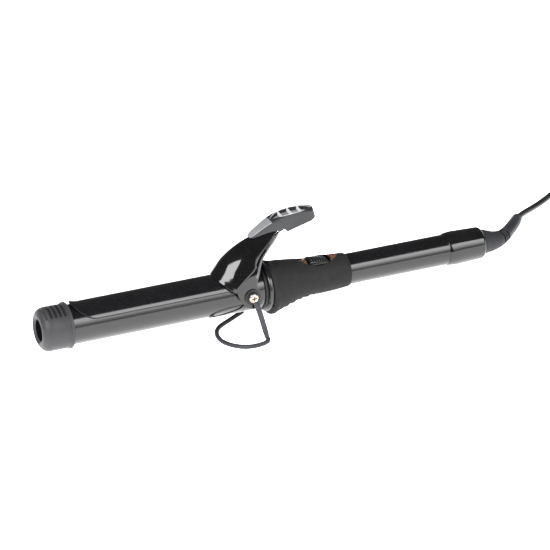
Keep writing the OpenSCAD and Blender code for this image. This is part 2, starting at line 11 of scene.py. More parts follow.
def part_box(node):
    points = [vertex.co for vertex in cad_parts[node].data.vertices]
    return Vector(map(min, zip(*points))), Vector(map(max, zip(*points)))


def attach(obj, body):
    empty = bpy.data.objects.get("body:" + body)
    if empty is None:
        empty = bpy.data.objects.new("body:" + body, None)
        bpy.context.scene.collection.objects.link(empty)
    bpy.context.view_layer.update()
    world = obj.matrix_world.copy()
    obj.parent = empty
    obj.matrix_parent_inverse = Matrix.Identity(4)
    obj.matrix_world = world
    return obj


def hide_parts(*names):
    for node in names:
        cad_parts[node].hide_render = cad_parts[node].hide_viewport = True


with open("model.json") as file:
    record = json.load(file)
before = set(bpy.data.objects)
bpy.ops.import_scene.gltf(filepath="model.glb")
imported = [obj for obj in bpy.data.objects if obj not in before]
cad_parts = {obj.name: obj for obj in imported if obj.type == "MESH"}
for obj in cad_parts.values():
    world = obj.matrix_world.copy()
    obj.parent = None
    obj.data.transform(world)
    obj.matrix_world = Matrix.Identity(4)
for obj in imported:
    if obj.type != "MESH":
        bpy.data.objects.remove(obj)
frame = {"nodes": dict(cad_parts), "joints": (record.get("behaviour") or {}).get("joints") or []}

bpy.context.view_layer.update()

# ---------- the iron's own frame ----------
# Millimetres, X along the iron from the tip to the cord, the near side at -Y, the barrel's axis
# at Z = 0. TO_ROW takes it to the model's frame, in metres.

MM = 0.001
JOINTS = {joint["name"]: joint for joint in frame["joints"]}
SWIVEL_X = 199.0
ALONG = Vector(JOINTS["cord_swivel"]["axis"])
TILT = math.atan2(-ALONG.z, ALONG.x)
ORIGIN = Vector(JOINTS["cord_swivel"]["pos_m"]) - ALONG * SWIVEL_X * MM
TO_ROW = Matrix.Translation(ORIGIN) @ Matrix.Rotation(TILT, 4, "Y") @ Matrix.Scale(MM, 4)
TO_IRON = TO_ROW.inverted()
PIVOT = TO_IRON @ Vector(JOINTS["clamp_hinge"]["pos_m"])


def span(node):
    """Lowest and highest corner of a CAD node in the iron's own frame, in millimetres."""
    points = [TO_IRON @ v.co for v in frame["nodes"][node].data.vertices]
    low = Vector(min(p[i] for p in points) for i in range(3))
    high = Vector(max(p[i] for p in points) for i in range(3))
    return low, high


def new_object(name, data):
    made = bpy.data.objects.new(name, data)
    bpy.context.scene.collection.objects.link(made)
    return made


# ---------- camera ----------

CAMERA_RIGHT = Vector((0.913, -0.408, 0.0)).normalized()
CAMERA_BACK = Vector((-0.365, -0.817, 0.446)).normalized()
CAMERA_UP = CAMERA_BACK.cross(CAMERA_RIGHT)
AIM = CAMERA_RIGHT * 23.35 + CAMERA_UP * 10.95
CAMERA_DISTANCE = 2281.6
LENS_MM = 196.36
SENSOR_MM = 36.0


def add_camera():
    data = bpy.data.cameras.new("camera")
    data.lens = LENS_MM
    data.sensor_width = SENSOR_MM
    data.clip_start = 0.05
    data.clip_end = 100.0
    camera = new_object("camera", data)
    axes = Matrix((CAMERA_RIGHT, CAMERA_UP, CAMERA_BACK)).transposed().to_4x4()
    turn = Matrix.Rotation(TILT, 4, "Y") @ axes
    place = TO_ROW @ (AIM + CAMERA_BACK * CAMERA_DISTANCE)
    camera.matrix_world = Matrix.Translation(place) @ turn
    bpy.context.scene.camera = camera


# ---------- materials ----------


def tone(code):
    """Linear colour of an sRGB hex code."""
    parts = [((code >> shift) & 255) / 255 for shift in (16, 8, 0)]
    return [c / 12.92 if c <= 0.04045 else ((c + 0.055) / 1.055) ** 2.4 for c in parts] + [1.0]


class Look:
    """A node material under construction."""

    def __init__(self, name):
        self.material = bpy.data.materials.new(name)
        self.material.use_nodes = True
        self.tree = self.material.node_tree
        self.shader = self.tree.nodes["Principled BSDF"]
        self.place = self.add("ShaderNodeTexCoord").outputs["Object"]

    def add(self, kind, inputs=None, **values):
        node = self.tree.nodes.new(kind)
        for key, value in values.items():
            setattr(node, key, value)
        for key, value in (inputs or {}).items():
            node.inputs[key].default_value = value
        return node

    def link(self, source, target):
        self.tree.links.new(source, target)

    def stretched(self, scale):
        """Object coordinates turned into the iron's own frame, and stretched."""
        node = self.add("ShaderNodeMapping", {"Rotation": (0.0, -TILT, 0.0), "Scale": scale})
        self.link(self.place, node.inputs["Vector"])
        return node.outputs["Vector"]

    def noise(self, size_mm, detail=2.0, distortion=0.0, place=None):
        scale = 1.0 / (size_mm * MM)
        node = self.add("ShaderNodeTexNoise",
                        {"Scale": scale, "Detail": detail, "Distortion": distortion})
        self.link(place or self.place, node.inputs["Vector"])
        return node.outputs["Fac"]

    def range(self, source, low, high, out_low, out_high):
        node = self.add("ShaderNodeMapRange", {"From Min": low, "From Max": high,
                                               "To Min": out_low, "To Max": out_high})
        self.link(source, node.inputs["Value"])
        return node.outputs["Result"]

    def mix(self, factor, first, second):
        node = self.add("ShaderNodeMix", data_type="RGBA")
        self.link(factor, node.inputs["Factor"])
        for key, value in (("A", first), ("B", second)):
            socket = next(s for s in node.inputs if s.name == key and s.type == "RGBA")
            if isinstance(value, (list, tuple)):
                socket.default_value = value
            else:
                self.link(value, socket)
        return next(s for s in node.outputs if s.type == "RGBA")

    def bump(self, *layers):
        """Each layer is a height socket and its depth in millimetres."""
        normal = None
        for height, depth_mm in layers:
            node = self.add("ShaderNodeBump", {"Distance": depth_mm * MM})
            self.link(height, node.inputs["Height"])
            if normal:
                self.link(normal, node.inputs["Normal"])
            normal = node.outputs["Normal"]
        self.link(normal, self.shader.inputs["Normal"])

    def set(self, **values):
        for key, value in values.items():
            self.shader.inputs[key.replace("_", " ")].default_value = value

    def colour(self, source):
        self.link(source, self.shader.inputs["Base Color"])

    def rough(self, source, smoothest, roughest, low=0.3, high=0.7):
        """Roughness between two values, as the source goes from low to high."""
        spread = self.range(source, low, high, smoothest, roughest)
        self.link(spread, self.shader.inputs["Roughness"])


def worn_edges(look, colour, light, amount):
    """Lightens a colour along outer edges, as handling does."""
    edge = look.add("ShaderNodeNewGeometry").outputs["Pointiness"]
    return look.mix(look.range(edge, 0.51, 0.6, 0.0, amount), colour, light)


def gloss(name, dark, light, roughness, peel_mm=0.004):
    """Glossy black plastic or lacquer: faint orange peel, handling smears and dust."""
    look = Look(name)
    look.set(IOR=1.5)
    broad = look.range(look.noise(26.0, 3.0), 0.35, 0.65, 0.0, 1.0)
    specks = look.range(look.noise(0.35, 0.0), 0.74, 0.8, 0.0, 0.35)
    base = look.mix(broad, tone(dark), tone(light))
    look.colour(look.mix(specks, base, tone(0x55565A)))
    smears = look.noise(9.0, 4.0, 0.6)
    look.rough(smears, roughness * 0.75, roughness * 1.45, 0.3, 0.75)
    look.bump((look.noise(3.2, 1.0), peel_mm), (look.noise(0.5, 2.0), peel_mm * 0.12))
    return look.material


def satin(name, dark, light, roughness, grain_mm=0.22, depth_mm=0.012, wear=0.5, ior=1.48):
    """Moulded plastic with a fine spark-eroded grain."""
    look = Look(name)
    look.set(IOR=ior)
    broad = look.range(look.noise(14.0, 3.0), 0.3, 0.7, 0.0, 1.0)
    base = look.mix(broad, tone(dark), tone(light))
    fine = look.noise(grain_mm, 2.0)
    speckle = look.mix(look.range(fine, 0.35, 0.7, 0.0, 0.3), base, tone(light))
    look.colour(worn_edges(look, speckle, tone(light), wear))
    look.rough(look.noise(2.5, 3.0), roughness - 0.05, roughness + 0.07)
    look.bump((fine, depth_mm), (look.noise(6.0, 1.0), depth_mm * 0.6))
    return look.material


def rubber(name, dark, light, roughness):
    """Soft-touch coating: matt, dusty, with a velvet sheen."""
    look = Look(name)
    look.set(IOR=1.2, Sheen_Weight=0.01, Sheen_Roughness=0.5)
    dust = look.range(look.noise(4.0, 5.0, 0.4), 0.42, 0.8, 0.0, 0.5)
    base = look.mix(dust, tone(dark), tone(light))
    fine = look.noise(0.16, 3.0)
    look.colour(look.mix(look.range(fine, 0.55, 0.75, 0.0, 0.4), base, tone(light)))
    look.rough(look.noise(1.8, 2.0), roughness - 0.06, roughness + 0.08)
    look.bump((fine, 0.014), (look.noise(3.0, 2.0), 0.01))
    return look.material


def metal(name, dark, light, roughness, stretch=(1.0, 1.0, 1.0)):
    """Plated or drawn metal with fine scratches along its working direction."""
    look = Look(name)
    look.set(Metallic=1.0)
    scratches = look.noise(0.3, 3.0, 0.0, look.stretched(stretch))
    stain = look.range(look.noise(3.0, 3.0, 0.5), 0.4, 0.7, 0.0, 1.0)
    look.colour(look.mix(stain, tone(light), tone(dark)))
    look.rough(scratches, roughness * 0.6, roughness * 1.5)
    look.bump((scratches, 0.003))
    return look.material


def bronze(name):
    """Metallic bronze panel with smoky veins under a clear coat."""
    look = Look(name)
    look.set(Metallic=0.85, Coat_Weight=0.6, Coat_Roughness=0.08)
    veins = look.noise(5.5, 4.0, 1.8)
    smoke = look.range(veins, 0.42, 0.6, 0.0, 1.0)
    base = look.mix(smoke, tone(0x3A2C22), tone(0xB08462))
    flakes = look.range(look.noise(0.25, 1.0), 0.55, 0.75, 0.0, 0.5)
    coloured = look.mix(flakes, base, tone(0xE3C3A0))
    look.colour(look.mix(beside_rocker(look), coloured, tone(0x050505)))
    look.rough(veins, 0.22, 0.4)
    look.bump((look.noise(0.3, 1.0), 0.004))
    return look.material


def beside_rocker(look):
    """1 where the panel is the rocker's dark surround, from its place along the iron."""
    parts = look.add("ShaderNodeSeparateXYZ")
    look.link(look.stretched((1.0, 1.0, 1.0)), parts.inputs["Vector"])
    middle = (Vector(JOINTS["rocker_tilt"]["pos_m"])).dot(ALONG)
    offset = look.add("ShaderNodeMath", {1: middle}, operation="SUBTRACT")
    look.link(parts.outputs["X"], offset.inputs[0])
    distance = look.add("ShaderNodeMath", operation="ABSOLUTE")
    look.link(offset.outputs["Value"], distance.inputs[0])
    return look.range(distance.outputs["Value"], 9.4 * MM, 9.6 * MM, 1.0, 0.0)


def red_lens(name):
    """Tinted indicator lens with a frosted core."""
    look = Look(name)
    look.set(IOR=1.49, Coat_Weight=0.8, Coat_Roughness=0.05)
    frost = look.noise(0.7, 2.0)
    look.colour(look.mix(frost, tone(0x3A0605), tone(0x6E0F0B)))
    look.rough(frost, 0.12, 0.24)
    look.bump((look.noise(0.9, 1.0), 0.01))
    return look.material


def layered(name, dark, light, roughness, size_mm, metallic=0.0, stretch=(1.0, 1.0, 1.0)):
    """Plain inner parts: ceramic, film, phenolic and glass, with streaks at the given size."""
    look = Look(name)
    look.set(Metallic=metallic)
    streaks = look.noise(size_mm, 4.0, 0.3, look.stretched(stretch))
    look.colour(look.mix(look.range(streaks, 0.35, 0.65, 0.0, 1.0), tone(dark), tone(light)))
    look.rough(streaks, roughness * 0.8, roughness * 1.2)
    look.bump((streaks, 0.01))
    return look.material


def circuit(name):
    """Green solder mask with the shapes of copper tracks under it."""
    look = Look(name)
    tracks = look.add("ShaderNodeTexBrick", {
        "Scale": 420.0, "Mortar Size": 0.07, "Color1": tone(0x0E4A26),
        "Color2": tone(0x12572D), "Mortar": tone(0x2C7A3E)})
    look.link(look.place, tracks.inputs["Vector"])
    look.colour(tracks.outputs["Color"])
    look.rough(look.noise(1.5, 2.0), 0.28, 0.42)
    look.bump((tracks.outputs["Fac"], 0.02))
    return look.material


# Each look's kind and the values that its function takes. The slots of the record come under
# their own names, and the rest are details of a slot's piece.
LOOK_TABLE = {
    "tip_grey": (satin, 0x252527, 0x303032, 0.45, 0.2, 0.014, 0.9, 1.32),
    # painted shade: near-black for the inside of the tip's bore and the boot's grooves
    "hollow_painted_shade": (satin, 0x020203, 0x060607, 0.8, 0.22, 0.012, 0.5, 1.15),
    # painted shade: darker grey for the cool tip's grip grooves
    "tip_groove_painted_shade": (satin, 0x141415, 0x1C1C1E, 0.6, 0.22, 0.012, 0.0, 1.3),
    "insulator": (layered, 0x8E7350, 0xA88A62, 0.6, 1.5),
    "insulator_dark": (satin, 0x161618, 0x222226, 0.55),
    "nickel": (metal, 0x857A69, 0xC9C3B7, 0.24),
    "screw_recess": (metal, 0x2A1D12, 0x5A4028, 0.4),
    "barrel_gloss": (gloss, 0x070708, 0x0C0C0E, 0.13),
    "raw_aluminium": (metal, 0xA2A5A8, 0xD0D2D4, 0.35, (0.05, 1.0, 1.0)),
    "ceramic_stone": (layered, 0x2C2A27, 0x3D3A36, 0.8, 0.6),
    "contact_metal": (metal, 0xA67C3C, 0xD9B36C, 0.3, (0.1, 1.0, 1.0)),
    "amber_film": (layered, 0xA65A10, 0xC87A1E, 0.25, 6.0),
    "sensor_glass": (layered, 0xA8742C, 0xC8964A, 0.15, 2.0),
    "wire_sleeve": (rubber, 0xB9B5AA, 0xD6D2C8, 0.55),
    "neck_gloss": (gloss, 0x09090A, 0x0E0E10, 0.16),
    # Also painted along the clamp plate's edges as a painted shadow.
    "seal_black": (satin, 0x020202, 0x060606, 0.6, 0.3, 0.006, 0.0),
    "ring_gloss": (gloss, 0x0C0C0D, 0x131315, 0.2),
    "clamp_gloss": (gloss, 0x070708, 0x0C0C0E, 0.1),
    "lever_gloss": (gloss, 0x060607, 0x0B0B0C, 0.09),
    "pad_satin": (satin, 0x1B1C1E, 0x252628, 0.34, 0.3, 0.006, 0.3, 1.36),
    # painted light: lighter satin for the upward faces of the pad's front
    "pad_beak_painted_light": (satin, 0x646567, 0x727375, 0.3, 0.3, 0.006, 0.0),
    # painted shade: dark satin for the walls of the pad's recess
    "pad_recess_painted_shade": (satin, 0x151515, 0x222222, 0.55, 0.3, 0.01, 0.0),
    # painted highlight: pale satin for the pad's rim bead and ribs
    "pad_trim_painted_highlight": (satin, 0x9A9B9D, 0xB0B1B3, 0.3, 0.3, 0.006, 0.0),
    # painted light: lighter satin for the upward faces of the pad's recess
    "pad_floor_painted_light": (satin, 0x606163, 0x707173, 0.4, 0.3, 0.006, 0.0),
    # painted reflection: light grey satin for the rolled band along the black lever's rear line
    "lever_edge_painted_reflection": (satin, 0x515254, 0x5E5F61, 0.3, 0.3, 0.006, 0.0),
    "spring_steel": (metal, 0x7E7F82, 0xB4B5B8, 0.28),
    "stand_coat": (satin, 0x26272A, 0x323337, 0.4, 0.35, 0.01, 0.5, 1.22),
    "grip_rubber": (rubber, 0x1A1A1B, 0x232324, 0.66),
    "panel_bronze": (bronze,),
    "rocker_black": (gloss, 0x0A0A0B, 0x111113, 0.22, 0.008),
    "rib_silver": (metal, 0x77787A, 0xA4A5A7, 0.3),
    "lens_red": (red_lens,),
    "board_green": (circuit,),
    "handle_gloss": (gloss, 0x070708, 0x0C0C0E, 0.12),
    "cap_gloss": (gloss, 0x060607, 0x0B0B0C, 0.08),
    "relief_satin": (satin, 0x1F2022, 0x2A2B2E, 0.42, 0.2, 0.008, 0.3, 1.25),
    "cord_pvc": (satin, 0x0E0F10, 0x18191B, 0.38, 0.5, 0.006, 0.0),
    "tie_black": (rubber, 0x141415, 0x26262A, 0.7),
    "plug_black": (satin, 0x121214, 0x1E1E21, 0.42),
    "pin_nickel": (metal, 0xA9A59C, 0xDDD9CF, 0.22, (1.0, 1.0, 0.1)),
}
LOOKS = {name: kind(name, *values) for name, (kind, *values) in LOOK_TABLE.items()}


# ---------- shape helpers ----------


def curve_through(points, steps):
    """Catmull-Rom points through tuples of any length, with that many steps in each gap."""
    ends = [[2 * a - b for a, b in zip(points[0], points[1])]]
    ends.append([2 * a - b for a, b in zip(points[-1], points[-2])])
    full = [ends[0], *points, ends[1]]
    out = []
    for i in range(1, len(full) - 2):
        for k in range(steps):
            t = k / steps
            out.append([
                0.5 * (2 * b + (c - a) * t + (2 * a - 5 * b + 4 * c - d) * t * t
                       + (3 * b - a - 3 * c + d) * t ** 3)
                for a, b, c, d in zip(full[i - 1], full[i], full[i + 1], full[i + 2])
            ])
    out.append(list(points[-1]))
    return out


def value_at(table, x):
    """Straight-line value at x in a table of [x, value] pairs."""
    for (x0, v0), (x1, v1) in zip(table, table[1:]):
        if x <= x1:
            share = min(1.0, max(0.0, (x - x0) / (x1 - x0)))
            return v0 + (v1 - v0) * share
    return table[-1][1]


def ease(low, high, x):
    """Smooth step from 0 at low to 1 at high."""
    t = min(1.0, max(0.0, (x - low) / (high - low)))
    return t * t * (3 - 2 * t)


def arc(cx, cy, r, start, end, steps):
    """Points of an arc in degrees."""
    angles = [math.radians(start + (end - start) * i / steps) for i in range(steps + 1)]
    return [[cx + r * math.cos(a), cy + r * math.sin(a)] for a in angles]


def circle(steps):
    """Cosine and sine of evenly spaced angles, once round."""
    turn = 2 * math.pi / steps
    return [(math.cos(turn * k), math.sin(turn * k)) for k in range(steps)]


def round_ring(x, r, steps=128):
    """A circle across the iron's axis."""
    return [(x, r * c, r * s) for c, s in circle(steps)]


def lathe_rows(outline, steps):
    """An outline of [radius, y] pairs, turned about the Y axis."""
    return [[(r * c, y, r * s) for c, s in circle(steps)] for r, y in outline]


def box_ring(x, y, z0, z1, power=4.0, steps=48):
    """A rounded-box ring across X, with half width y, between two heights."""
    out = []
    for c, s in circle(steps):
        across = math.copysign(abs(c) ** (2 / power), c)
        up = math.copysign(abs(s) ** (2 / power), s)
        out.append((x, y * across, (z0 + z1) / 2 + (z1 - z0) / 2 * up))
    return out


def skin(rows, wrap=True, close=False, caps=False):
    """Vertices and faces of a surface through rows of points."""
    count = len(rows[0])
    points = [tuple(p) for row in rows for p in row]
    faces = []
    for i in range(len(rows) if close else len(rows) - 1):
        below = (i + 1) % len(rows)
        for k in range(count if wrap else count - 1):
            m = (k + 1) % count
            faces.append((i * count + k, i * count + m, below * count + m, below * count + k))
    if caps:
        faces.append(tuple(range(count - 1, -1, -1)))
        faces.append(tuple(len(points) - count + k for k in range(count)))
    return points, faces


def merge(*parts):
    """Several vertex and face lists as one."""
    points, faces = [], []
    for more_points, more_faces in parts:
        base = len(points)
        points.extend(more_points)
        faces.extend(tuple(base + i for i in f) for f in more_faces)
    return points, faces


def mirrored(part):
    """The same part on the other side of the iron."""
    points, faces = part
    return [(x, -y, z) for x, y, z in points], [tuple(reversed(f)) for f in faces]


def tube(path, radii, sides=20, up=(0.0, 0.0, 1.0), rounded=0):
    """A round tube along a path, with rounded ends if asked."""
    path = [Vector(p) for p in path]
    rows = []
    for i, point in enumerate(path):
        ahead = (path[min(i + 1, len(path) - 1)] - path[max(i - 1, 0)]).normalized()
        side = Vector(up).cross(ahead).normalized()
        top = ahead.cross(side)
        ends = []
        if rounded and i == 0:
            ends = [(-math.cos(a), math.sin(a)) for a in half_turns(rounded)]
        ends.append((0.0, 1.0))
        if rounded and i == len(path) - 1:
            ends += [(math.cos(a), math.sin(a)) for a in reversed(half_turns(rounded))]
        for shift, scale in ends:
            rows.append([point + ahead * (shift * radii[i])
                         + (side * c + top * s) * (radii[i] * scale) for c, s in circle(sides)])
    return skin(rows, caps=True)


def half_turns(steps):
    """Angles from near the pole to near the equator of a rounded end."""
    return [math.pi / 2 * (k + 0.3) / (steps + 0.3) for k in range(steps)]


def at_pivot(part):
    """The same part moved from the barrel's axis to the pivot."""
    points, faces = part
    return [(x + PIVOT.x, y, z + PIVOT.z) for x, y, z in points], faces


def faces_at(piece):
    """Each face of a piece with its centre in the iron's own frame."""
    return [(face, TO_IRON @ face.center) for face in piece.data.polygons]


def from_pivot(at):
    """Distance of a point from the pivot's axis."""
    return math.hypot(at.x - PIVOT.x, at.z - PIVOT.z)


def disc(r, y0, y1, bevel=0.25, bore=0.0, steps=64):
    """A disc across Y with softened edges, with a bore if one is given."""
    near, far = min(y0, y1), max(y0, y1)
    outline = [(r - bevel, near), (r, near + bevel), (r, far - bevel), (r - bevel, far)]
    if bore:
        outline += [(bore, far), (bore, near)]
    return skin(lathe_rows(outline, steps), close=bool(bore), caps=not bore)


# ---------- pieces ----------


def solid_mesh(name, part, to_row, weld):
    """A mesh from points in the iron's frame, with its normals outwards."""
    points, faces = part
    mesh = bpy.data.meshes.new(name)
    mesh.from_pydata([tuple(to_row @ Vector(p)) for p in points], [], faces)
    shape = bmesh.new()
    shape.from_mesh(mesh)
    if weld:
        bmesh.ops.remove_doubles(shape, verts=shape.verts, dist=1e-7)
        bmesh.ops.dissolve_degenerate(shape, edges=shape.edges, dist=1e-8)
    bmesh.ops.recalc_face_normals(shape, faces=shape.faces)
    shape.to_mesh(mesh)
    shape.free()
    return mesh


def add_piece(name, part, body, slot, replaces=(), to_row=TO_ROW, sharp=35.0, extra=(),
              finish=None):
    """A mesh piece from points in the iron's frame, riding on a CAD body."""
    mesh = solid_mesh(name, part, to_row, True)
    for look in (finish or slot, *extra):
        mesh.materials.append(LOOKS[look])
    piece = new_object(name, mesh)
    soften(mesh, sharp)
    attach(piece, body)
    if replaces:
        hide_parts(*replaces)
    return piece


def soften(mesh, sharp):
    mesh.shade_smooth()
    mesh.set_sharp_from_angle(angle=math.radians(sharp))


def settle(piece, sharp=35.0):
    """Applies a piece's modifiers to its mesh."""
    graph = bpy.context.evaluated_depsgraph_get()
    mesh = bpy.data.meshes.new_from_object(piece.evaluated_get(graph))
    piece.modifiers.clear()
    piece.data = mesh
    soften(mesh, sharp)


def thicken(piece, wall_mm):
    """Grows a single-skin mesh inwards, towards the iron's middle line, to a wall."""
    outward = 0.0
    for face, at in faces_at(piece):
        across = TO_IRON.to_3x3() @ face.normal
        outward += face.area * (across.y * at.y + across.z * at.z)
    if outward < 0.0:
        piece.data.flip_normals()
    modifier = piece.modifiers.new("wall", "SOLIDIFY")
    modifier.thickness = wall_mm * MM
    modifier.offset = -1.0
    modifier.use_even_offset = True


def bevel(piece, width_mm, segments, angle):
    modifier = piece.modifiers.new("bevel", "BEVEL")
    modifier.width = width_mm * MM
    modifier.segments = segments
    modifier.limit_method = "ANGLE"
    modifier.angle_limit = math.radians(angle)
    modifier.use_clamp_overlap = True


def shell(piece, wall_mm, edge_mm, segments, sharp):
    """Turns a single skin into a wall with rounded edges."""
    thicken(piece, wall_mm)
    bevel(piece, edge_mm, segments, sharp)
    settle(piece, sharp)


def cut(piece, part):
    """Takes a closed shape, given in the iron's frame, away from a piece."""
    mesh = solid_mesh("cutter", part, TO_ROW, False)
    cutter = new_object("cutter", mesh)
    modifier = piece.modifiers.new("cut", "BOOLEAN")
    modifier.operation = "DIFFERENCE"
    modifier.solver = "EXACT"
    modifier.object = cutter
    settle(piece)
    bpy.data.objects.remove(cutter)
    bpy.data.meshes.remove(mesh)


# ---------- cord ----------
# The route stands on the table, so it is given in the model's frame, in metres.

CORD_D = 0.0048
CORD_ROUTE = [
    (0.2291, 0.0258, 0.0072), (0.2342, 0.0299, 0.0066), (0.2410, 0.0347, 0.0055),
    (0.2500, 0.0400, 0.0040), (0.2600, 0.0456, 0.0028), (0.2680, 0.0500, 0.00243),
    (0.2770, 0.0547, 0.00243), (0.2870, 0.0584, 0.00243), (0.2970, 0.0602, 0.0025),
    (0.3080, 0.0604, 0.0028),
]
COIL_CENTRE = Vector((0.3180, 0.0244, 0.0))
COIL_BASE = 0.0031
LAYER_RISE = CORD_D * math.sqrt(3) / 2
# Radius of each turn, in the order in which the cord is wound, with its layer.
TURNS = [(0.0357, 0), (0.0309, 0), (0.0261, 0), (0.0213, 0), (0.0237, 1), (0.0285, 1),
         (0.0333, 1), (0.0309, 2), (0.0261, 2)]
TAIL_R = 0.0285
TAIL_LEAVE = 18.0
TAIL_BEND_R = 0.0200
TAIL_SWEEP = 70.0
TURN_STEPS = 36
SHIFT_DEGREES = 60.0


def around(centre, r, degrees, z=0.0):
    """A point at a radius and an angle round an upright axis."""
    a = math.radians(degrees)
    return centre + Vector((r * math.cos(a), r * math.sin(a), z))


def coil_points():
    """The coil, wound clockwise from above, from the far side of its ring."""
    start = 90.0
    out = []
    for index, (radius, layer) in enumerate(TURNS):
        last = index == len(TURNS) - 1
        next_radius, next_layer = (TAIL_R, 3) if last else TURNS[index + 1]
        climbs = next_layer > layer
        shift_from = 360.0 - SHIFT_DEGREES * (2.0 if climbs and not last else 1.0)
        for k in range(TURN_STEPS):
            turned = 360.0 * k / TURN_STEPS
            share = ease(shift_from, shift_from + SHIFT_DEGREES, turned)
            r = radius + (next_radius - radius) * share
            rise = (next_layer - layer) * (0.965 if last else 1.0)
            z = COIL_BASE + LAYER_RISE * (layer + rise * share)
            crossing = ease(230.0, 300.0, turned) - ease(300.0, 360.0, turned)
            z += 0.00065 * layer * max(0.0, crossing)
            out.append((r, start - turned, z))
    return out


def cord_points():
    points = [Vector(p) for p in curve_through(CORD_ROUTE, 4)[:-1]]
    points += [around(COIL_CENTRE, *turned) for turned in coil_points()]
    top = COIL_BASE + LAYER_RISE * (2 + 0.965)
    steps = 8
    points += [around(COIL_CENTRE, TAIL_R, 90.0 + (TAIL_LEAVE - 90.0) * k / steps, top)
               for k in range(steps)]
    steps = 16
    for k in range(steps + 1):
        z = top + (plug_height() - top) * ease(0.0, 1.0, k / steps)
        points.append(around(tail_centre(), TAIL_BEND_R, TAIL_LEAVE - TAIL_SWEEP * k / steps, z))
    return points


def tail_centre():
    """Centre of the bend that takes the tail off the coil."""
    return around(COIL_CENTRE, TAIL_R - TAIL_BEND_R, TAIL_LEAVE)


def plug_height():
    low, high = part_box("plug_body")
    return (low.z + high.z) / 2


def add_cord():
    data = bpy.data.curves.new("cord", "CURVE")
    data.dimensions = "3D"
    data.bevel_depth = CORD_D / 2
    data.bevel_resolution = 6
    data.use_fill_caps = True
    points = cord_points()
    line = data.splines.new("POLY")
    line.points.add(len(points) - 1)
    for target, point in zip(line.points, points):
        target.co = (*point, 1.0)
    line.use_smooth = True
    data.materials.append(LOOKS["cord_pvc"])
    cord = new_object("cord", data)
    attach(cord, "swivel")
    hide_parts("power_cord", "cord_coil", "cord_tail")
    return cord


def add_tie():
    """A strap round the coil's bundle."""
    low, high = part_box("cord_coil")
    reach = (high.x - low.x) / 2 - TAIL_R
    rows = []
    for degrees in (190.0, 191.2, 202.8, 204.0):
        edge = 0.0 if degrees in (191.2, 202.8) else 0.25
        outer = tie_outline(reach * 1000 + 0.6 - edge, low.z * 1000 - 0.32 + edge,
                            high.z * 1000 + 0.6 - edge)
        rows.append([around(COIL_CENTRE, TAIL_R + p * MM, degrees, z * MM) for p, z in outer])
    return add_piece("cord_tie_strap", skin(rows, caps=True), "swivel", "tie_black",
                     ("cord_tie",), Matrix.Identity(4), 30.0)


def tie_outline(reach, bottom, top):
    """Rounded outline of the strap across the coil: a base, and shoulders drawn in to the top."""
    corners = [(-reach, bottom + 1.0), (-reach + 1.0, bottom), (reach - 1.0, bottom),
               (reach, bottom + 1.0), (reach, bottom + 4.6), (reach * 0.56, top - 0.7),
               (reach * 0.46, top), (-reach * 0.46, top), (-reach * 0.56, top - 0.7),
               (-reach, bottom + 4.6)]
    loop = curve_through([corners[-1], *corners, corners[0]], 4)
    return loop[4:-5]


def plug_frame():
    """From the plug's own frame, in millimetres with X towards the pins, to the model's."""
    end = TAIL_LEAVE - TAIL_SWEEP
    at = around(tail_centre(), TAIL_BEND_R, end)
    at.z = plug_height()
    turn = Matrix.Rotation(math.radians(end - 90.0), 4, "Z")
    return Matrix.Translation(at) @ turn @ Matrix.Scale(MM, 4)


PLUG_LENGTH = 30.0
PIN_OFFSET = 9.0
PLUG_STATIONS = [
    (0.0, 3.4, 3.4), (0.4, 3.9, 3.9), (3.0, 4.2, 4.2), (6.5, 5.2, 4.9), (10.0, 7.6, 5.7),
    (13.0, 11.2, 6.2), (16.0, 14.6, 6.5), (20.0, 16.4, 6.7), (25.0, 16.9, 6.75),
    (29.0, 17.0, 6.75), (29.7, 16.8, 6.6), (PLUG_LENGTH, 16.4, 6.2),
]


def add_plug():
    """A flat moulded plug with a ribbed neck, and its two pins."""
    rows = []
    for x, w, h in curve_through(PLUG_STATIONS, 4):
        neck = ease(9.0, 5.0, x) if x < 9.0 else 0.0
        groove = 0.35 * neck * max(0.0, math.sin(x * math.pi / 1.1))
        power = 2.0 + 1.6 * ease(6.0, 16.0, x)
        rows.append(box_ring(x, w - groove, -h + groove, h - groove, power, 64))
    to_row = plug_frame()
    body = add_piece("plug_moulding", skin(rows, caps=True), "swivel", "plug_black",
                     ("plug_body",), to_row, 50.0)
    pins = []
    for y in (PIN_OFFSET, -PIN_OFFSET):
        profile = [(PLUG_LENGTH - 1.0, 2.0), (PLUG_LENGTH + 17.6, 2.0)]
        profile += [[x, r] for r, x in arc(0.8, PLUG_LENGTH + 17.8, 1.2, 0, 90, 6)]
        rows = [[(x, y + q, z) for x, q, z in round_ring(x, max(r, 0.02), 32)]
                for x, r in profile]
        pins.append(skin(rows, caps=True))
    blades = add_piece("plug_contacts", merge(*pins), "swivel", "pin_nickel",
                       ("plug_pins",), to_row)
    return [body, blades]


# ---------- cool tip ----------

GROOVE_COUNT = 5
GROOVE_PITCH = 3.6
GROOVE_HALF = 0.85
GROOVE_ANGLE = 35.0
FACE_DISH = 1.5
GROOVE_FLOOR_R = 15.75


def tip_radius(x, r, degrees_from_top, first_groove):
    """Radius of the cool tip where the grip grooves cut into its top."""
    if r <= GROOVE_FLOOR_R or x > first_groove + GROOVE_PITCH * GROOVE_COUNT:
        return r
    index = min(GROOVE_COUNT - 1, max(0, round((x - first_groove) / GROOVE_PITCH)))
    across = abs(x - first_groove - GROOVE_PITCH * index)
    past_end = max(0.0, degrees_from_top - GROOVE_ANGLE) * math.pi / 180 * r
    share = ease(GROOVE_HALF + 0.25, GROOVE_HALF - 0.25, math.hypot(across, past_end))
    return r - (r - GROOVE_FLOOR_R) * share


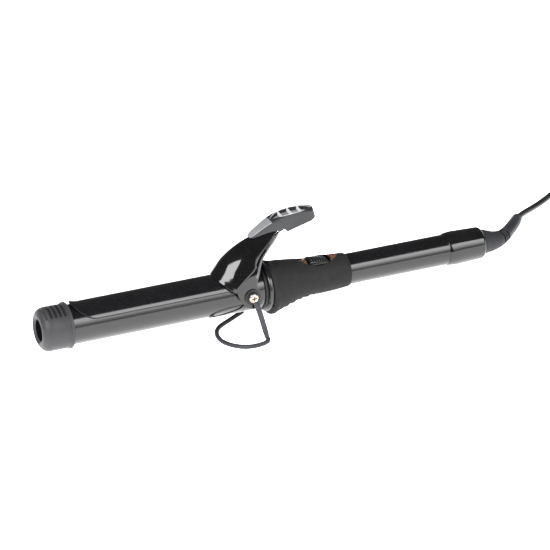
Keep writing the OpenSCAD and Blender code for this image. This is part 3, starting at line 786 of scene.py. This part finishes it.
def add_cool_tip():
    low, high = span("cool_tip")
    front = low.x
    flange_r = high.z
    body_r = flange_r - 0.85
    edge_r = 7.0
    bore_r = 8.2
    shoulder = span("barrel")[0].x - 0.1
    rim = front + FACE_DISH
    outline = [(front + 18.0, 1.7), (front + 18.0, bore_r - 0.4), (front + 17.6, bore_r)]
    outline += [(rim + 0.5, bore_r), (rim + 0.15, bore_r + 0.15), (rim, bore_r + 0.5)]
    outline += [(front + 0.8, 9.3), (front + 0.3, 10.0), (front + 0.06, 10.8)]
    outline += arc(front + edge_r, body_r - edge_r, edge_r, 163.125, 95.625, 12)
    steps = 50
    straight = shoulder - 2.9
    outline += [(front + edge_r + (straight - front - edge_r) * k / steps, body_r)
                for k in range(steps + 1)]
    outline += [(shoulder - 2.6, body_r + 0.1), (shoulder - 2.3, flange_r - 0.25),
                (shoulder - 2.05, flange_r), (shoulder - 0.3, flange_r),
                (shoulder, flange_r - 0.3), (shoulder, 14.4), (high.x, 14.4), (high.x, 12.8),
                (front + 9.0, 12.8), (front + 7.5, 9.6), (front + 21.0, 9.4),
                (front + 21.0, 1.7)]
    first_groove = front + 4.7
    steps = 180
    rows = []
    for x, r in outline:
        row = []
        for k in range(steps):
            a = 2 * math.pi * k / steps
            from_top = abs(math.degrees(math.remainder(a - math.pi / 2, 2 * math.pi)))
            reach = tip_radius(x, r, from_top, first_groove) if x < straight else r
            row.append((x, reach * math.cos(a), reach * math.sin(a)))
        rows.append(row)
    tip = add_piece("cool_tip_cap", skin(rows, close=True), "iron", "tip_grey", ("cool_tip",),
                    sharp=40.0, extra=("hollow_painted_shade", "tip_groove_painted_shade"))
    for face, at in faces_at(tip):
        out = math.hypot(at.y, at.z)
        # painted shade: faces inside the bore are painted near-black
        if out < bore_r + 0.1 and at.x < front + 18.5:
            face.material_index = 1
        # painted shade: faces in the grip grooves are painted darker
        elif 15.0 < out < body_r - 0.5 and front + edge_r < at.x < straight:
            face.material_index = 2


# ---------- clamp ----------

PLATE_HALF_ANGLE = 61.0
PLATE_TONGUE = 17.5
# Width of the painted shadow along the plate's edges, which stands in for the shaded gap under
# them.
PLATE_SHADOW_EDGE_MM = 0.75
# Places across the plate, as shares of its reach, closer together along its edges.
PLATE_COLUMNS = [-1.0, -0.98, -0.958, *[k / 15 - 0.93 for k in range(28)], 0.958, 0.98, 1.0]


def add_clamp_plate():
    """A curved plate whose half-elliptical front lifts a little off the barrel."""
    low, high = span("clamp_plate")
    outer_r = high.z
    side = outer_r * math.sin(math.radians(PLATE_HALF_ANGLE))
    stations = [low.x + PLATE_TONGUE * (1 - math.cos(math.pi / 2 * k / 24)) for k in range(25)]
    stations += [low.x + PLATE_TONGUE + (high.x - low.x - PLATE_TONGUE) * k / 20
                 for k in range(1, 21)]
    rows = []
    for x in stations:
        past = max(0.0, (low.x + PLATE_TONGUE - x) / PLATE_TONGUE)
        half = side * math.sqrt(max(0.0, 1 - past * past))
        reach = math.asin(max(half, 0.15) / outer_r)
        lift = 1.5 * ease(low.x + 9.0, low.x - 1.0, x)
        row = []
        for share in PLATE_COLUMNS:
            a = reach * share
            r = outer_r + lift
            row.append((x, r * math.sin(a), r * math.cos(a)))
        rows.append(row)
    plate = add_piece("clamp_blade", skin(rows, wrap=False), "clamp", "clamp_gloss",
                      ("clamp_plate",), extra=("seal_black",))
    shell(plate, 0.9, 0.28, 3, 50.0)
    # painted shadow: faces along the plate's side and front edges take the black seal finish
    for face, at in faces_at(plate):
        past = min(1.0, max(0.0, (low.x + PLATE_TONGUE - at.x) / PLATE_TONGUE))
        reach = math.asin(side * math.sqrt(1 - past * past) / outer_r)
        edge = reach - abs(math.atan2(at.y, at.z))
        if edge * outer_r < PLATE_SHADOW_EDGE_MM or at.x < low.x + PLATE_SHADOW_EDGE_MM:
            face.material_index = 1


# The hood, station by station from the barrel up to the thumb pad: the top line as [x, z], the
# fold at its side as [x, z], and the half width at the fold.
HOOD_TOP = [
    (-26.9, 17.0), (-25.4, 18.9), (-23.4, 21.6), (-18.4, 27.9), (-10.2, 34.6), (-2, 39.7),
    (5.4, 43.3), (11.2, 46.2), (16.4, 48.7), (21.6, 50.6), (30, 53), (45, 55.4),
]
HOOD_FOLD = [
    (-14.2, 7.2), (-13.4, 8.4), (-12, 10.4), (-8.2, 14.6), (-3.2, 19), (2.3, 22.4), (6.1, 28),
    (11.6, 34), (17.3, 39.6), (22.5, 45.4), (30, 48), (45, 50.5),
]
HOOD_HALF = [18.1, 18.2, 18.3, 18.2, 17.5, 15.8, 12.2, 9.8, 8.2, 7, 5, 4.6]
HOOD_WALL = 1.6
HOOD_SPRING_ANGLE = 24.0
HOOD_ROWS = 5
HOOD_COLUMNS = 32

# The side of the lever below the fold: its front line, from the thumb pad down the fold and
# round the ear, and its rear line, as [x, z].
SIDE_FRONT = [
    *HOOD_FOLD[10:0:-1], (-12.6, 5.4), (-11.2, 1.6), (-9.1, -1.9), (-6.6, -4.8), (-3.4, -7.1),
    (-0.4, -8),
]
SIDE_REAR = [
    (33, 49.2), (26, 46.2), (20.6, 39.4), (14.8, 33.8), (9, 28), (5.6, 23.6), (4.1, 20.6),
    (3.2, 17.4), (2.6, 14.4), (2.6, 11.4), (3.6, 8.4), (5.9, 5.6), (7.7, 2.2), (7.8, -1.8),
    (5.7, -5.6), (2.4, -7.6),
]
SIDE_HALF = [
    (8.4, 18.2), (14.6, 18.1), (19, 17.5), (22.4, 15.8), (28, 12.2), (34, 9.8), (39.6, 8.2),
    (45.4, 7), (48, 5),
]


# The rolled band along the lever's rear line, as [distance past the line, distance inwards].
EDGE_ROLL = [(0.7, 0.25), (1.4, 0.7), (2.0, 1.3)]


def hood_ring(station):
    """One arch of the hood, from the fold on the far side over to the near one."""
    top_x, top_z, fold_x, fold_z, half = station
    low_angle = math.radians(HOOD_SPRING_ANGLE)
    row = []
    for k in range(HOOD_COLUMNS + 1):
        a = low_angle + (math.pi - 2 * low_angle) * k / HOOD_COLUMNS
        rise = (math.sin(a) - math.sin(low_angle)) / (1 - math.sin(low_angle))
        across = half * math.cos(a) / math.cos(low_angle)
        row.append((fold_x + (top_x - fold_x) * rise, across,
                    fold_z + (top_z - fold_z) * rise))
    return row


def hood_skin():
    stations = [(*t, *f, w) for t, f, w in zip(HOOD_TOP, HOOD_FOLD, HOOD_HALF)]
    rows = [hood_ring(s) for s in curve_through(stations, HOOD_ROWS)]
    return skin(rows, wrap=False)


def side_skin():
    """The lever's side, from the fold to its rear line."""
    ladder = [(*f, *r) for f, r in zip(SIDE_FRONT, SIDE_REAR)]
    rows = []
    for front_x, front_z, rear_x, rear_z in curve_through(ladder, 5):
        half = value_at(SIDE_HALF, front_z)
        row = [(front_x + (rear_x - front_x) * k / 8, -half,
                front_z + (rear_z - front_z) * k / 8) for k in range(9)]
        band = ease(8.0, 20.0, rear_z) * ease(50.0, 44.0, rear_z)
        for past, inward in EDGE_ROLL:
            row.append((rear_x + past * band, -half + inward * band + past * 0.02, rear_z))
        rows.append(row)
    return skin(rows, wrap=False)


def add_lever():
    hood = add_piece("lever_hood", hood_skin(), "clamp", "lever_gloss",
                     ("clamp_lever",), sharp=40.0)
    shell(hood, HOOD_WALL, 0.35, 2, 45.0)
    near = side_skin()
    for name, part in (("lever_side_near", near), ("lever_side_far", mirrored(near))):
        side = add_piece(name, part, "clamp", "lever_gloss", sharp=40.0, extra=("lever_edge_painted_reflection",))
        shell(side, 1.3, 0.4, 3, 45.0)
        rear = sorted([z, x] for x, z in SIDE_REAR)
        # painted reflection: the rolled band along the rear line is painted light grey
        for face, at in faces_at(side):
            if at.z > 13.0 and at.x > value_at(rear, at.z) - 0.7:
                face.material_index = 1


# ---------- thumb pad ----------

PAD_TOP = [
    (3.8, 44.1), (6, 45.9), (9, 47.9), (15, 51.9), (21, 55.3), (27, 57.6), (33, 58.85),
    (40, 59.55), (47, 59.7), (56.2, 59.2),
]
PAD_BOTTOM = [
    (3.8, 43.7), (6, 43.6), (9, 44), (18, 46.2), (25, 46.6), (31.4, 46.8), (33.8, 44.2),
    (42, 46.7), (50, 49.4), (56.2, 52),
]
PAD_HALF = [
    (3.8, 2.6), (4.6, 3.5), (6, 4.2), (9, 4.7), (16, 5.5), (24, 6.4), (36, 6.7), (46, 6.9),
    (51.2, 6.7), (53.7, 5.7), (55.4, 4.1), (56.2, 2.0),
]
RECESS_CENTRE = 38.3
RECESS_HALF_LENGTH = 16.6
RECESS_HALF_WIDTH = 5.5
RECESS_DEPTH = 4.3
PAD_END_LEAN = 0.3
PAD_RIBS = (29.6, 37.6, 45.6)


def recess_half(x):
    """Half width of the pad's oval recess."""
    share = (x - RECESS_CENTRE) / RECESS_HALF_LENGTH
    return RECESS_HALF_WIDTH * max(0.0, 1 - abs(share) ** 2.3) ** 0.55


def recess_edge(steps, shrink=0.0):
    """The recess's outline, drawn in by shrink, with the direction of each point."""
    out = []
    for c, s in circle(steps):
        x = RECESS_CENTRE + (RECESS_HALF_LENGTH - shrink) * c
        half = recess_half(x)
        y = math.copysign(half - min(shrink, half), s) if abs(s) > 1e-6 else 0.0
        out.append((x, y, c, s))
    return out


def recess_shape():
    rows = []
    for depth, shrink in ((6.0, 0.0), (-RECESS_DEPTH + 0.7, 0.15), (-RECESS_DEPTH, 0.9)):
        rows.append([(x, y, value_at(PAD_TOP, x) + depth)
                     for x, y, _, _ in recess_edge(64, shrink)])
    return skin(rows, caps=True)


def pad_rib(x):
    """A thin wall across the recess, bowed towards the rear."""
    half = recess_half(x) + 0.2
    path = []
    for k in range(13):
        share = k / 6 - 1
        bow = 1.1 * (1 - share * share)
        at = x + bow
        sag = 0.15 + 1.5 * (1 - share * share)
        path.append((at, half * share, value_at(PAD_TOP, at) - sag))
    walls = []
    for at, y, z in path:
        walls.append([(at - 0.34, y, z - 2.6), (at - 0.34, y, z), (at - 0.18, y, z + 0.3),
                      (at + 0.18, y, z + 0.3), (at + 0.34, y, z), (at + 0.34, y, z - 2.6)])
    return skin(walls, caps=True)


def pad_rim():
    """A fine bead round the recess."""
    rows = []
    for x, y, along, across in recess_edge(96):
        out = Vector((along * 0.6, across, 0.0)).normalized()
        top = value_at(PAD_TOP, x)
        rows.append([(x + out.x * 0.38 * c, y + out.y * 0.38 * c, top - 0.28 + 0.26 * s)
                     for c, s in circle(8)])
    return skin(rows, close=True)


def add_thumb_pad():
    stations = [PAD_TOP[0][0] + (PAD_TOP[-1][0] - PAD_TOP[0][0]) * k / 72 for k in range(73)]
    rows = []
    for x in stations:
        top = value_at(PAD_TOP, x)
        ring = box_ring(x, value_at(PAD_HALF, x), value_at(PAD_BOTTOM, x), top, 7.0)
        lean = PAD_END_LEAN * ease(40.0, 55.0, x)
        rows.append([(a + lean * (top - c), b, c) for a, b, c in ring])
    pad = add_piece("thumb_rest", skin(rows, caps=True), "clamp", "pad_satin", ("thumb_pad",),
                    sharp=40.0, extra=("pad_recess_painted_shade", "pad_floor_painted_light", "pad_beak_painted_light"))
    cut(pad, recess_shape())
    for face, at in faces_at(pad):
        inside = abs(at.y) < recess_half(at.x) + 0.02
        # painted light and shade: in the recess, upward faces are painted light and the walls
        # dark
        if inside and value_at(PAD_TOP, at.x) - at.z > 0.12 and at.z > 50:
            face.material_index = 2 if face.normal.z > 0.7 else 1
        # painted light: upward faces in front of the recess are painted lighter
        elif face.normal.z > 0.55 and at.x < RECESS_CENTRE - RECESS_HALF_LENGTH - 1.2:
            face.material_index = 3
    # painted highlight: the bead and the ribs are painted pale
    trim = merge(pad_rim(), *[pad_rib(x) for x in PAD_RIBS])
    add_piece("thumb_rest_ribs", trim, "clamp", "pad_satin", sharp=50.0, finish="pad_trim_painted_highlight")


# ---------- stand ----------

STAND_ARM = [
    (-0.8, -19.9, 0.4), (0.4, -20.3, -2.2), (1.7, -20.9, -5), (4.1, -21.8, -12.9),
    (6.3, -23, -22), (8.2, -24.2, -30.2),
]
STAND_FOOT = [
    (8.9, -25.4), (7.2, -27.4), (3, -28.7), (-4, -28.1), (-11, -24.8), (-17.6, -17.4),
    (-21.4, -8.7), (-22, -2), (-21.2, 3.7), (-19, 9.1), (-15.8, 13), (-11.2, 15.9),
    (-3.6, 19.3), (2.5, 22.2), (7, 24.2), (8.8, 25),
]
WIRE_R = 1.8
EYELET_R = 4.1


def foot_point(x, y):
    """A point of the foot, with its wire lying on the table."""
    z = (WIRE_R - ORIGIN.z / MM + x * math.sin(TILT)) / math.cos(TILT)
    return (x, y, z)


def arm_radius(at):
    """The wire is thicker along its arms and thin where it joins the eyelet."""
    below = PIVOT.z - at.z
    if below < 14.0:
        return 0.75 + 1.4 * ease(1.0, 7.0, below)
    return 2.15 - 0.38 * ease(-26.0, -31.5, at.z)


def add_stand():
    foot = [foot_point(x, y) for x, y in STAND_FOOT]
    far_arm = [(x, -y, z) for x, y, z in reversed(STAND_ARM)]
    path = curve_through([*STAND_ARM, *foot, *far_arm], 6)
    radii = [min(arm_radius(Vector(p)), (TO_ROW @ Vector(p)).z / MM) for p in path]
    wire = tube(path, radii, 24, (1.0, 0.0, 0.35), 4)
    pivot_r = 2.0
    eyelet = at_pivot(disc(EYELET_R, -19.2, -20.5, 0.35, pivot_r + 0.1))
    part = merge(wire, eyelet, mirrored(eyelet))
    stand = add_piece("stand_wire", part, "stand", "stand_coat", ("wire_stand",), sharp=50.0,
                      extra=("seal_black",))
    for face, at in faces_at(stand):
        if from_pivot(at) < EYELET_R + 0.05 and abs(at.y) < 20.52:
            face.material_index = 1


# ---------- neck and pivot ----------

SLEEVE_EDGE = [
    (-33, -16.2), (-28, -14.6), (-21, -12.6), (-14, -10.4), (-9.5, -8), (-6.5, -4),
]


def add_neck_sleeve():
    """A thin sleeve that runs out into a tongue below the barrel."""
    low, high = span("neck_sleeve")
    outer_r = -low.z
    tongue = curve_through(SLEEVE_EDGE, 6)
    rows = []
    for x, z in [*tongue, (-6.4, outer_r), (high.x, outer_r)]:
        reach = math.pi if z >= outer_r else math.acos(max(-1.0, min(1.0, -z / outer_r)))
        reach = max(reach, 0.03)
        rows.append([(x, outer_r * math.sin(reach * (k / 40 - 1)),
                      -outer_r * math.cos(reach * (k / 40 - 1))) for k in range(81)])
    sleeve = add_piece("neck_shell", skin(rows, wrap=False), "iron", "neck_gloss",
                       ("neck_sleeve",))
    shell(sleeve, 0.7, 0.2, 2, 50.0)


def add_pivot_screws():
    """Domed screws with a cross recess, one at each side."""
    head_in = span("pivot_screws")[1].y - 1.7
    head_out = head_in + 1.7
    outline = [(2.0, 8.3), (2.0, head_in), (3.4, head_in), (3.7, head_in + 0.3),
               (3.55, head_in + 0.9), (3.0, head_out - 0.25), (2.0, head_out - 0.05),
               (0.05, head_out)]
    far = at_pivot(skin(lathe_rows(outline, 48), caps=True))
    screws = add_piece("pivot_screw_heads", merge(mirrored(far), far), "iron", "nickel",
                       ("pivot_screws",), sharp=30.0, extra=("screw_recess",))
    for side in (-1, 1):
        for across, up in ((0.42, 2.1), (2.1, 0.42)):
            low, high = sorted((side * (head_out - 1.0), side * (head_out + 1.0)))
            ends = [[(sx * across, y, sz * up) for sx, sz in ((-1, -1), (1, -1), (1, 1), (-1, 1))]
                    for y in (low, high)]
            cut(screws, at_pivot(skin(ends, caps=True)))
    for face, at in faces_at(screws):
        if from_pivot(at) < 2.2 and abs(at.y) < head_out - 0.3:
            face.material_index = 1


# ---------- handle ----------

# Centre height and radius of the grip along its length, as [x, centre z, radius].
GRIP_STATIONS = [
    (17.3, -2, 19.9), (17.6, -2, 20.4), (18.7, -2, 20.85), (20.4, -2, 20.85), (21.9, -1.9, 20.2),
    (24.0, -1.7, 19.6), (28, -1.3, 19.0), (35, -0.6, 17.6), (41.5, 0, 16.3), (48, 0, 15.3),
    (55.5, 0, 14.5), (62, 0, 14.35), (70, 0, 14.2), (77, 0, 13.8), (82.6, 0, 13.4),
    (84.4, 0, 13.1), (85, 0, 12.6),
]
FINGER_PITCH = 6.1
FINGER_FROM = 26.0
FINGER_TO = 58.5
WINDOW_LENGTH = 35.2
WINDOW_WIDTH = 16.2


def grip_radius(x, r, degrees_from_bottom):
    """Radius of the grip with its finger ridges underneath."""
    if not FINGER_FROM < x < FINGER_TO:
        return r
    phase = ((x - FINGER_FROM) / FINGER_PITCH) % 1.0
    ridge = min(1.0, phase / 0.85) - ease(0.88, 1.0, phase)
    fade = ease(58.0, 34.0, degrees_from_bottom)
    ends = ease(FINGER_FROM, FINGER_FROM + 3, x) * ease(FINGER_TO, FINGER_TO - 3, x)
    return r - 1.1 * (1 - ridge) * fade * ends


def add_grip():
    inner_r = span("handle_tube")[1].z + 0.02
    rows = []
    steps = 160
    stations = curve_through(GRIP_STATIONS, 12)
    for x, centre, r in stations:
        row = []
        for k in range(steps):
            a = 2 * math.pi * k / steps
            from_bottom = abs(math.degrees(math.remainder(a + math.pi / 2, 2 * math.pi)))
            reach = grip_radius(x, r, from_bottom)
            row.append((x, reach * math.cos(a), centre + reach * math.sin(a)))
        rows.append(row)
    rows += [round_ring(x, inner_r, steps) for x in (85.0, 17.3)]
    grip = add_piece("grip_cover", skin(rows, close=True), "iron", "grip_rubber",
                     ("grip_sleeve",), sharp=40.0)
    cut(grip, window_prism())


def window_prism():
    """The almond-shaped window over the control panel."""
    low, high = span("control_panel")
    centre = (low.x + high.x) / 2
    half = WINDOW_WIDTH / 2
    r = (WINDOW_LENGTH ** 2 / 4 + half * half) / (2 * half)
    sweep = math.degrees(math.asin(WINDOW_LENGTH / 2 / r))
    outline = arc(centre, half - r, r, 90 - sweep, 90 + sweep, 24)[:-1]
    outline += arc(centre, r - half, r, 270 - sweep, 270 + sweep, 24)[:-1]
    rows = [[(x, y, z) for x, y in outline] for z in (8.0, 28.0)]
    return skin(rows, caps=True)


ROCKER_HALF_LENGTH = 8.1
ROCKER_HALF_WIDTH = 5.8
ROCKER_CROWN_R = 14.8
ROCKER_ARC_R = 33.8
ROCKER_TOP = 3.0
ROCKER_BOTTOM = -1.2


def rocker_half(x):
    """Half width of the rocker, drawn in at its ends along the window's edge."""
    share = x / ROCKER_HALF_LENGTH
    return ROCKER_HALF_WIDTH - 0.75 * share * share


def rocker_top(x, y, axis_depth):
    """Height of the crown: an arc along the rocker, rounded across like the handle."""
    along = ROCKER_TOP - ROCKER_ARC_R + math.sqrt(ROCKER_ARC_R ** 2 - x * x)
    across = math.sqrt(ROCKER_CROWN_R ** 2 - y * y) - axis_depth
    return min(along, across)


def add_rocker():
    """A rocker as wide as its window, with fine silvery ribs across the crown."""
    joint = JOINTS["rocker_tilt"]
    centre = TO_IRON @ Vector(joint["pos_m"])
    tip = math.radians(7.0)
    seat = TO_ROW @ Matrix.Translation(centre) @ Matrix.Rotation(tip, 4, "Y")
    rows = []
    for i in range(33):
        x = ROCKER_HALF_LENGTH * (i / 16 - 1)
        half = rocker_half(x)
        ring = [(x, half * (k / 10 - 1), rocker_top(x, half * (k / 10 - 1), centre.z))
                for k in range(21)]
        rows.append([*ring, (x, half, ROCKER_BOTTOM), (x, -half, ROCKER_BOTTOM)])
    rocker = add_piece("rocker_button", skin(rows, caps=True), "rocker", "rocker_black",
                       ("power_rocker",), seat)
    bevel(rocker, 0.25, 3, 50.0)
    settle(rocker, 35.0)
    ribs = []
    for i in range(-3, 4):
        x = 2.1 * i
        row = []
        for k in range(13):
            y = 4.4 * (k / 6 - 1)
            shift = 0.7 * (1 - abs(k / 6 - 1))
            top = rocker_top(x + shift, y, centre.z)
            row.append([(x + shift - 0.4, y, top - 0.3), (x + shift - 0.3, y, top + 0.1),
                        (x + shift + 0.1, y, top + 0.24), (x + shift + 0.4, y, top - 0.3)])
        ribs.append(skin(row, caps=True))
    add_piece("rocker_ribs", merge(*ribs), "rocker", "rocker_black", (), seat,
              finish="rib_silver")


# ---------- end cap ----------

CAP_SCREW_X = 176.0


def add_end_cap():
    """A lathe-turned cap with a soft front slope and a rounded rear edge."""
    low, high = span("end_cap")
    front = low.x
    rear = high.x
    edge_r = 2.6
    outline = [(front, 12.2), (front, 12.32), (front + 0.25, 12.5), (front + 1.5, 12.85),
               (front + 4, 13.25), (front + 6.5, 13.47), (front + 9, 13.5)]
    outline += [(front + 9 + (rear - front - 14) * k / 12, 13.5 - 0.66 * k / 12)
                for k in range(1, 13)]
    outline += [[rear - edge_r + x, 12.79 - edge_r + r]
                for r, x in arc(0, 0, edge_r, 0, 88, 10)]
    outline += [(rear, 10.15), (rear, 6.6), (rear - 2.8, 6.6), (rear - 2.8, 10.1),
                (front + 12.1, 10.1), (front + 12.1, 12.2)]
    rows = [round_ring(x, r) for x, r in outline]
    cap = add_piece("end_cap_shell", skin(rows, close=True), "iron", "cap_gloss", ("end_cap",),
                    sharp=40.0)
    well = arc(CAP_SCREW_X, 0, 2.2, 0, 360, 32)[:-1]
    cut(cap, skin([[(x, y, z) for x, y in well] for z in (-20.0, -12.85)], caps=True))


# ---------- strain relief ----------

RELIEF_PATH = [
    (202.3, 0, 0), (203.3, 0, 0), (206.5, -0.15, -0.25), (211, -0.4, -0.6), (216, 0, -0.6),
    (220, 1.2, -0.5), (224, 3.3, -0.4), (228, 6.2, -0.3), (233, 10.6, -0.2), (239, 16, 0),
    (244.5, 21.6, 0), (249.2, 26.8, 0),
]
RELIEF_RADIUS = [9.9, 10.1, 9.3, 8.2, 7.1, 6.3, 5.7, 5.3, 5, 4.8, 4.6, 4.2]
RELIEF_GROOVES = (220.2, 222.6, 225.0)


def add_strain_relief():
    """A bent boot with three grooved rings, narrowing into its tail."""
    stations = [(*p, r) for p, r in zip(RELIEF_PATH, RELIEF_RADIUS)]
    fine = curve_through(stations, 14)
    path = [p[:3] for p in fine]
    radii = []
    for x, _, _, r in fine:
        dip = max(ease(0.95, 0.4, abs(x - groove)) for groove in RELIEF_GROOVES)
        radii.append(r - 0.95 * dip)
    boot = add_piece("cord_boot", tube(path, radii, 48), "swivel", "relief_satin",
                     ("strain_relief",), sharp=45.0, extra=("hollow_painted_shade",))
    middle = RELIEF_GROOVES[1]
    # painted shade: faces in the three grooves are painted near-black
    for face, at in faces_at(boot):
        if abs(at.x - middle) < 9.0:
            nearest = min(path, key=lambda p: (at - Vector(p)).length)
            if min(abs(nearest[0] - groove) for groove in RELIEF_GROOVES) < 0.75:
                face.material_index = 1


# ---------- studio ----------

FLOOR_GLOW = 1.7
WORLD_LEVEL = 0.14
BACKDROP_LEVEL = 1.5


def add_floor():
    """A pale floor, bright enough to light the iron from below."""
    size = 8.0
    mesh = bpy.data.meshes.new("studio_floor")
    mesh.from_pydata([(-size, -size, 0), (size, -size, 0), (size, size, 0), (-size, size, 0)],
                     [], [(0, 1, 2, 3)])
    look = Look("studio_floor")
    look.set(Base_Color=(0.85, 0.85, 0.85, 1.0), Roughness=0.9, Specular_IOR_Level=0.0,
             Emission_Color=(1.0, 1.0, 1.0, 1.0), Emission_Strength=FLOOR_GLOW)
    mesh.materials.append(look.material)
    floor = new_object("studio_floor", mesh)


def add_light(name, centre, size_x, size_y, power, glossy, aim_x=0.0):
    """A soft area light, aimed at the iron from a point in metres."""
    data = bpy.data.lights.new(name, "AREA")
    data.shape = "RECTANGLE"
    data.size = size_x
    data.size_y = size_y
    data.energy = power
    light = new_object(name, data)
    light.location = centre
    light.rotation_mode = "QUATERNION"
    aim = Vector((aim_x, 0.0, 0.04)) - Vector(centre)
    light.rotation_quaternion = aim.to_track_quat("-Z", "Y")
    light.visible_camera = False
    light.visible_glossy = glossy
    return light


def add_world():
    """Dark surroundings for reflections, with a white background behind the iron."""
    world = bpy.data.worlds.new("studio")
    world.use_nodes = True
    tree = world.node_tree
    tree.nodes.clear()
    output = tree.nodes.new("ShaderNodeOutputWorld")
    mix = tree.nodes.new("ShaderNodeMixShader")
    path = tree.nodes.new("ShaderNodeLightPath")
    tree.links.new(path.outputs["Is Camera Ray"], mix.inputs["Fac"])
    for place, level in ((1, WORLD_LEVEL), (2, BACKDROP_LEVEL)):
        glow = tree.nodes.new("ShaderNodeBackground")
        glow.inputs["Color"].default_value = (1.0, 1.0, 1.0, 1.0)
        glow.inputs["Strength"].default_value = level
        tree.links.new(glow.outputs["Background"], mix.inputs[place])
    tree.links.new(mix.outputs["Shader"], output.inputs["Surface"])
    bpy.context.scene.world = world


# The tall softbox beyond the near side, as steps of elevation in degrees with their strength.
SOFTBOX_STEPS = [(1, 9, 0.16), (9, 18, 0.42), (18, 28, 0.85), (28, 48, 1.25)]
SOFTBOX_DISTANCE = 1.7
SOFTBOX_X = 1.1
SOFTBOX_WIDTH = 1.6
SOFTBOX_GLOW = 21.0


def add_softbox():
    """The softbox is flagged off the lever's hood, which stays dark."""
    shaded = bpy.data.collections.new("flagged_off")
    for name in ("lever_hood", "lever_side_near", "lever_side_far"):
        shaded.objects.link(bpy.data.objects[name])
    for member in shaded.collection_objects:
        member.light_linking.link_state = "EXCLUDE"
    for index, (low, high, share) in enumerate(SOFTBOX_STEPS):
        middle = math.radians((low + high) / 2)
        height = 2 * SOFTBOX_DISTANCE * math.tan(math.radians(high - low) / 2)
        centre = (SOFTBOX_X, -SOFTBOX_DISTANCE * math.cos(middle),
                  0.04 + SOFTBOX_DISTANCE * math.sin(middle))
        power = SOFTBOX_GLOW * share * SOFTBOX_WIDTH * height
        light = add_light("softbox_%d" % index, centre, SOFTBOX_WIDTH, height, power, True,
                          SOFTBOX_X)
        light.light_linking.receiver_collection = shaded


def add_studio():
    add_floor()
    add_world()
    add_light("overhead", (-0.3, -0.3, 1.9), 1.6, 1.2, 26.0, False)
    add_light("left_fill", (-1.6, -0.5, 0.7), 0.9, 0.9, 9.0, False)
    add_softbox()
    add_light("window_left", (-1.0, -0.78, 1.1), 1.15, 1.0, 48.0, True)
    bpy.context.scene.view_settings.view_transform = "Standard"


def dress_cad_nodes():
    """Gives every carried-over CAD node the finished material of its slot."""
    for node in frame["nodes"].values():
        for slot in node.material_slots:
            slot.material = LOOKS[slot.material.name.split(".")[0]]


add_camera()
dress_cad_nodes()
PLUG = add_plug()
TIE = add_tie()
add_cord()
add_strain_relief()
add_cool_tip()
add_clamp_plate()
add_lever()
add_thumb_pad()
add_stand()
add_neck_sleeve()
add_pivot_screws()
add_grip()
add_rocker()
add_end_cap()
add_studio()

bpy.context.view_layer.update()
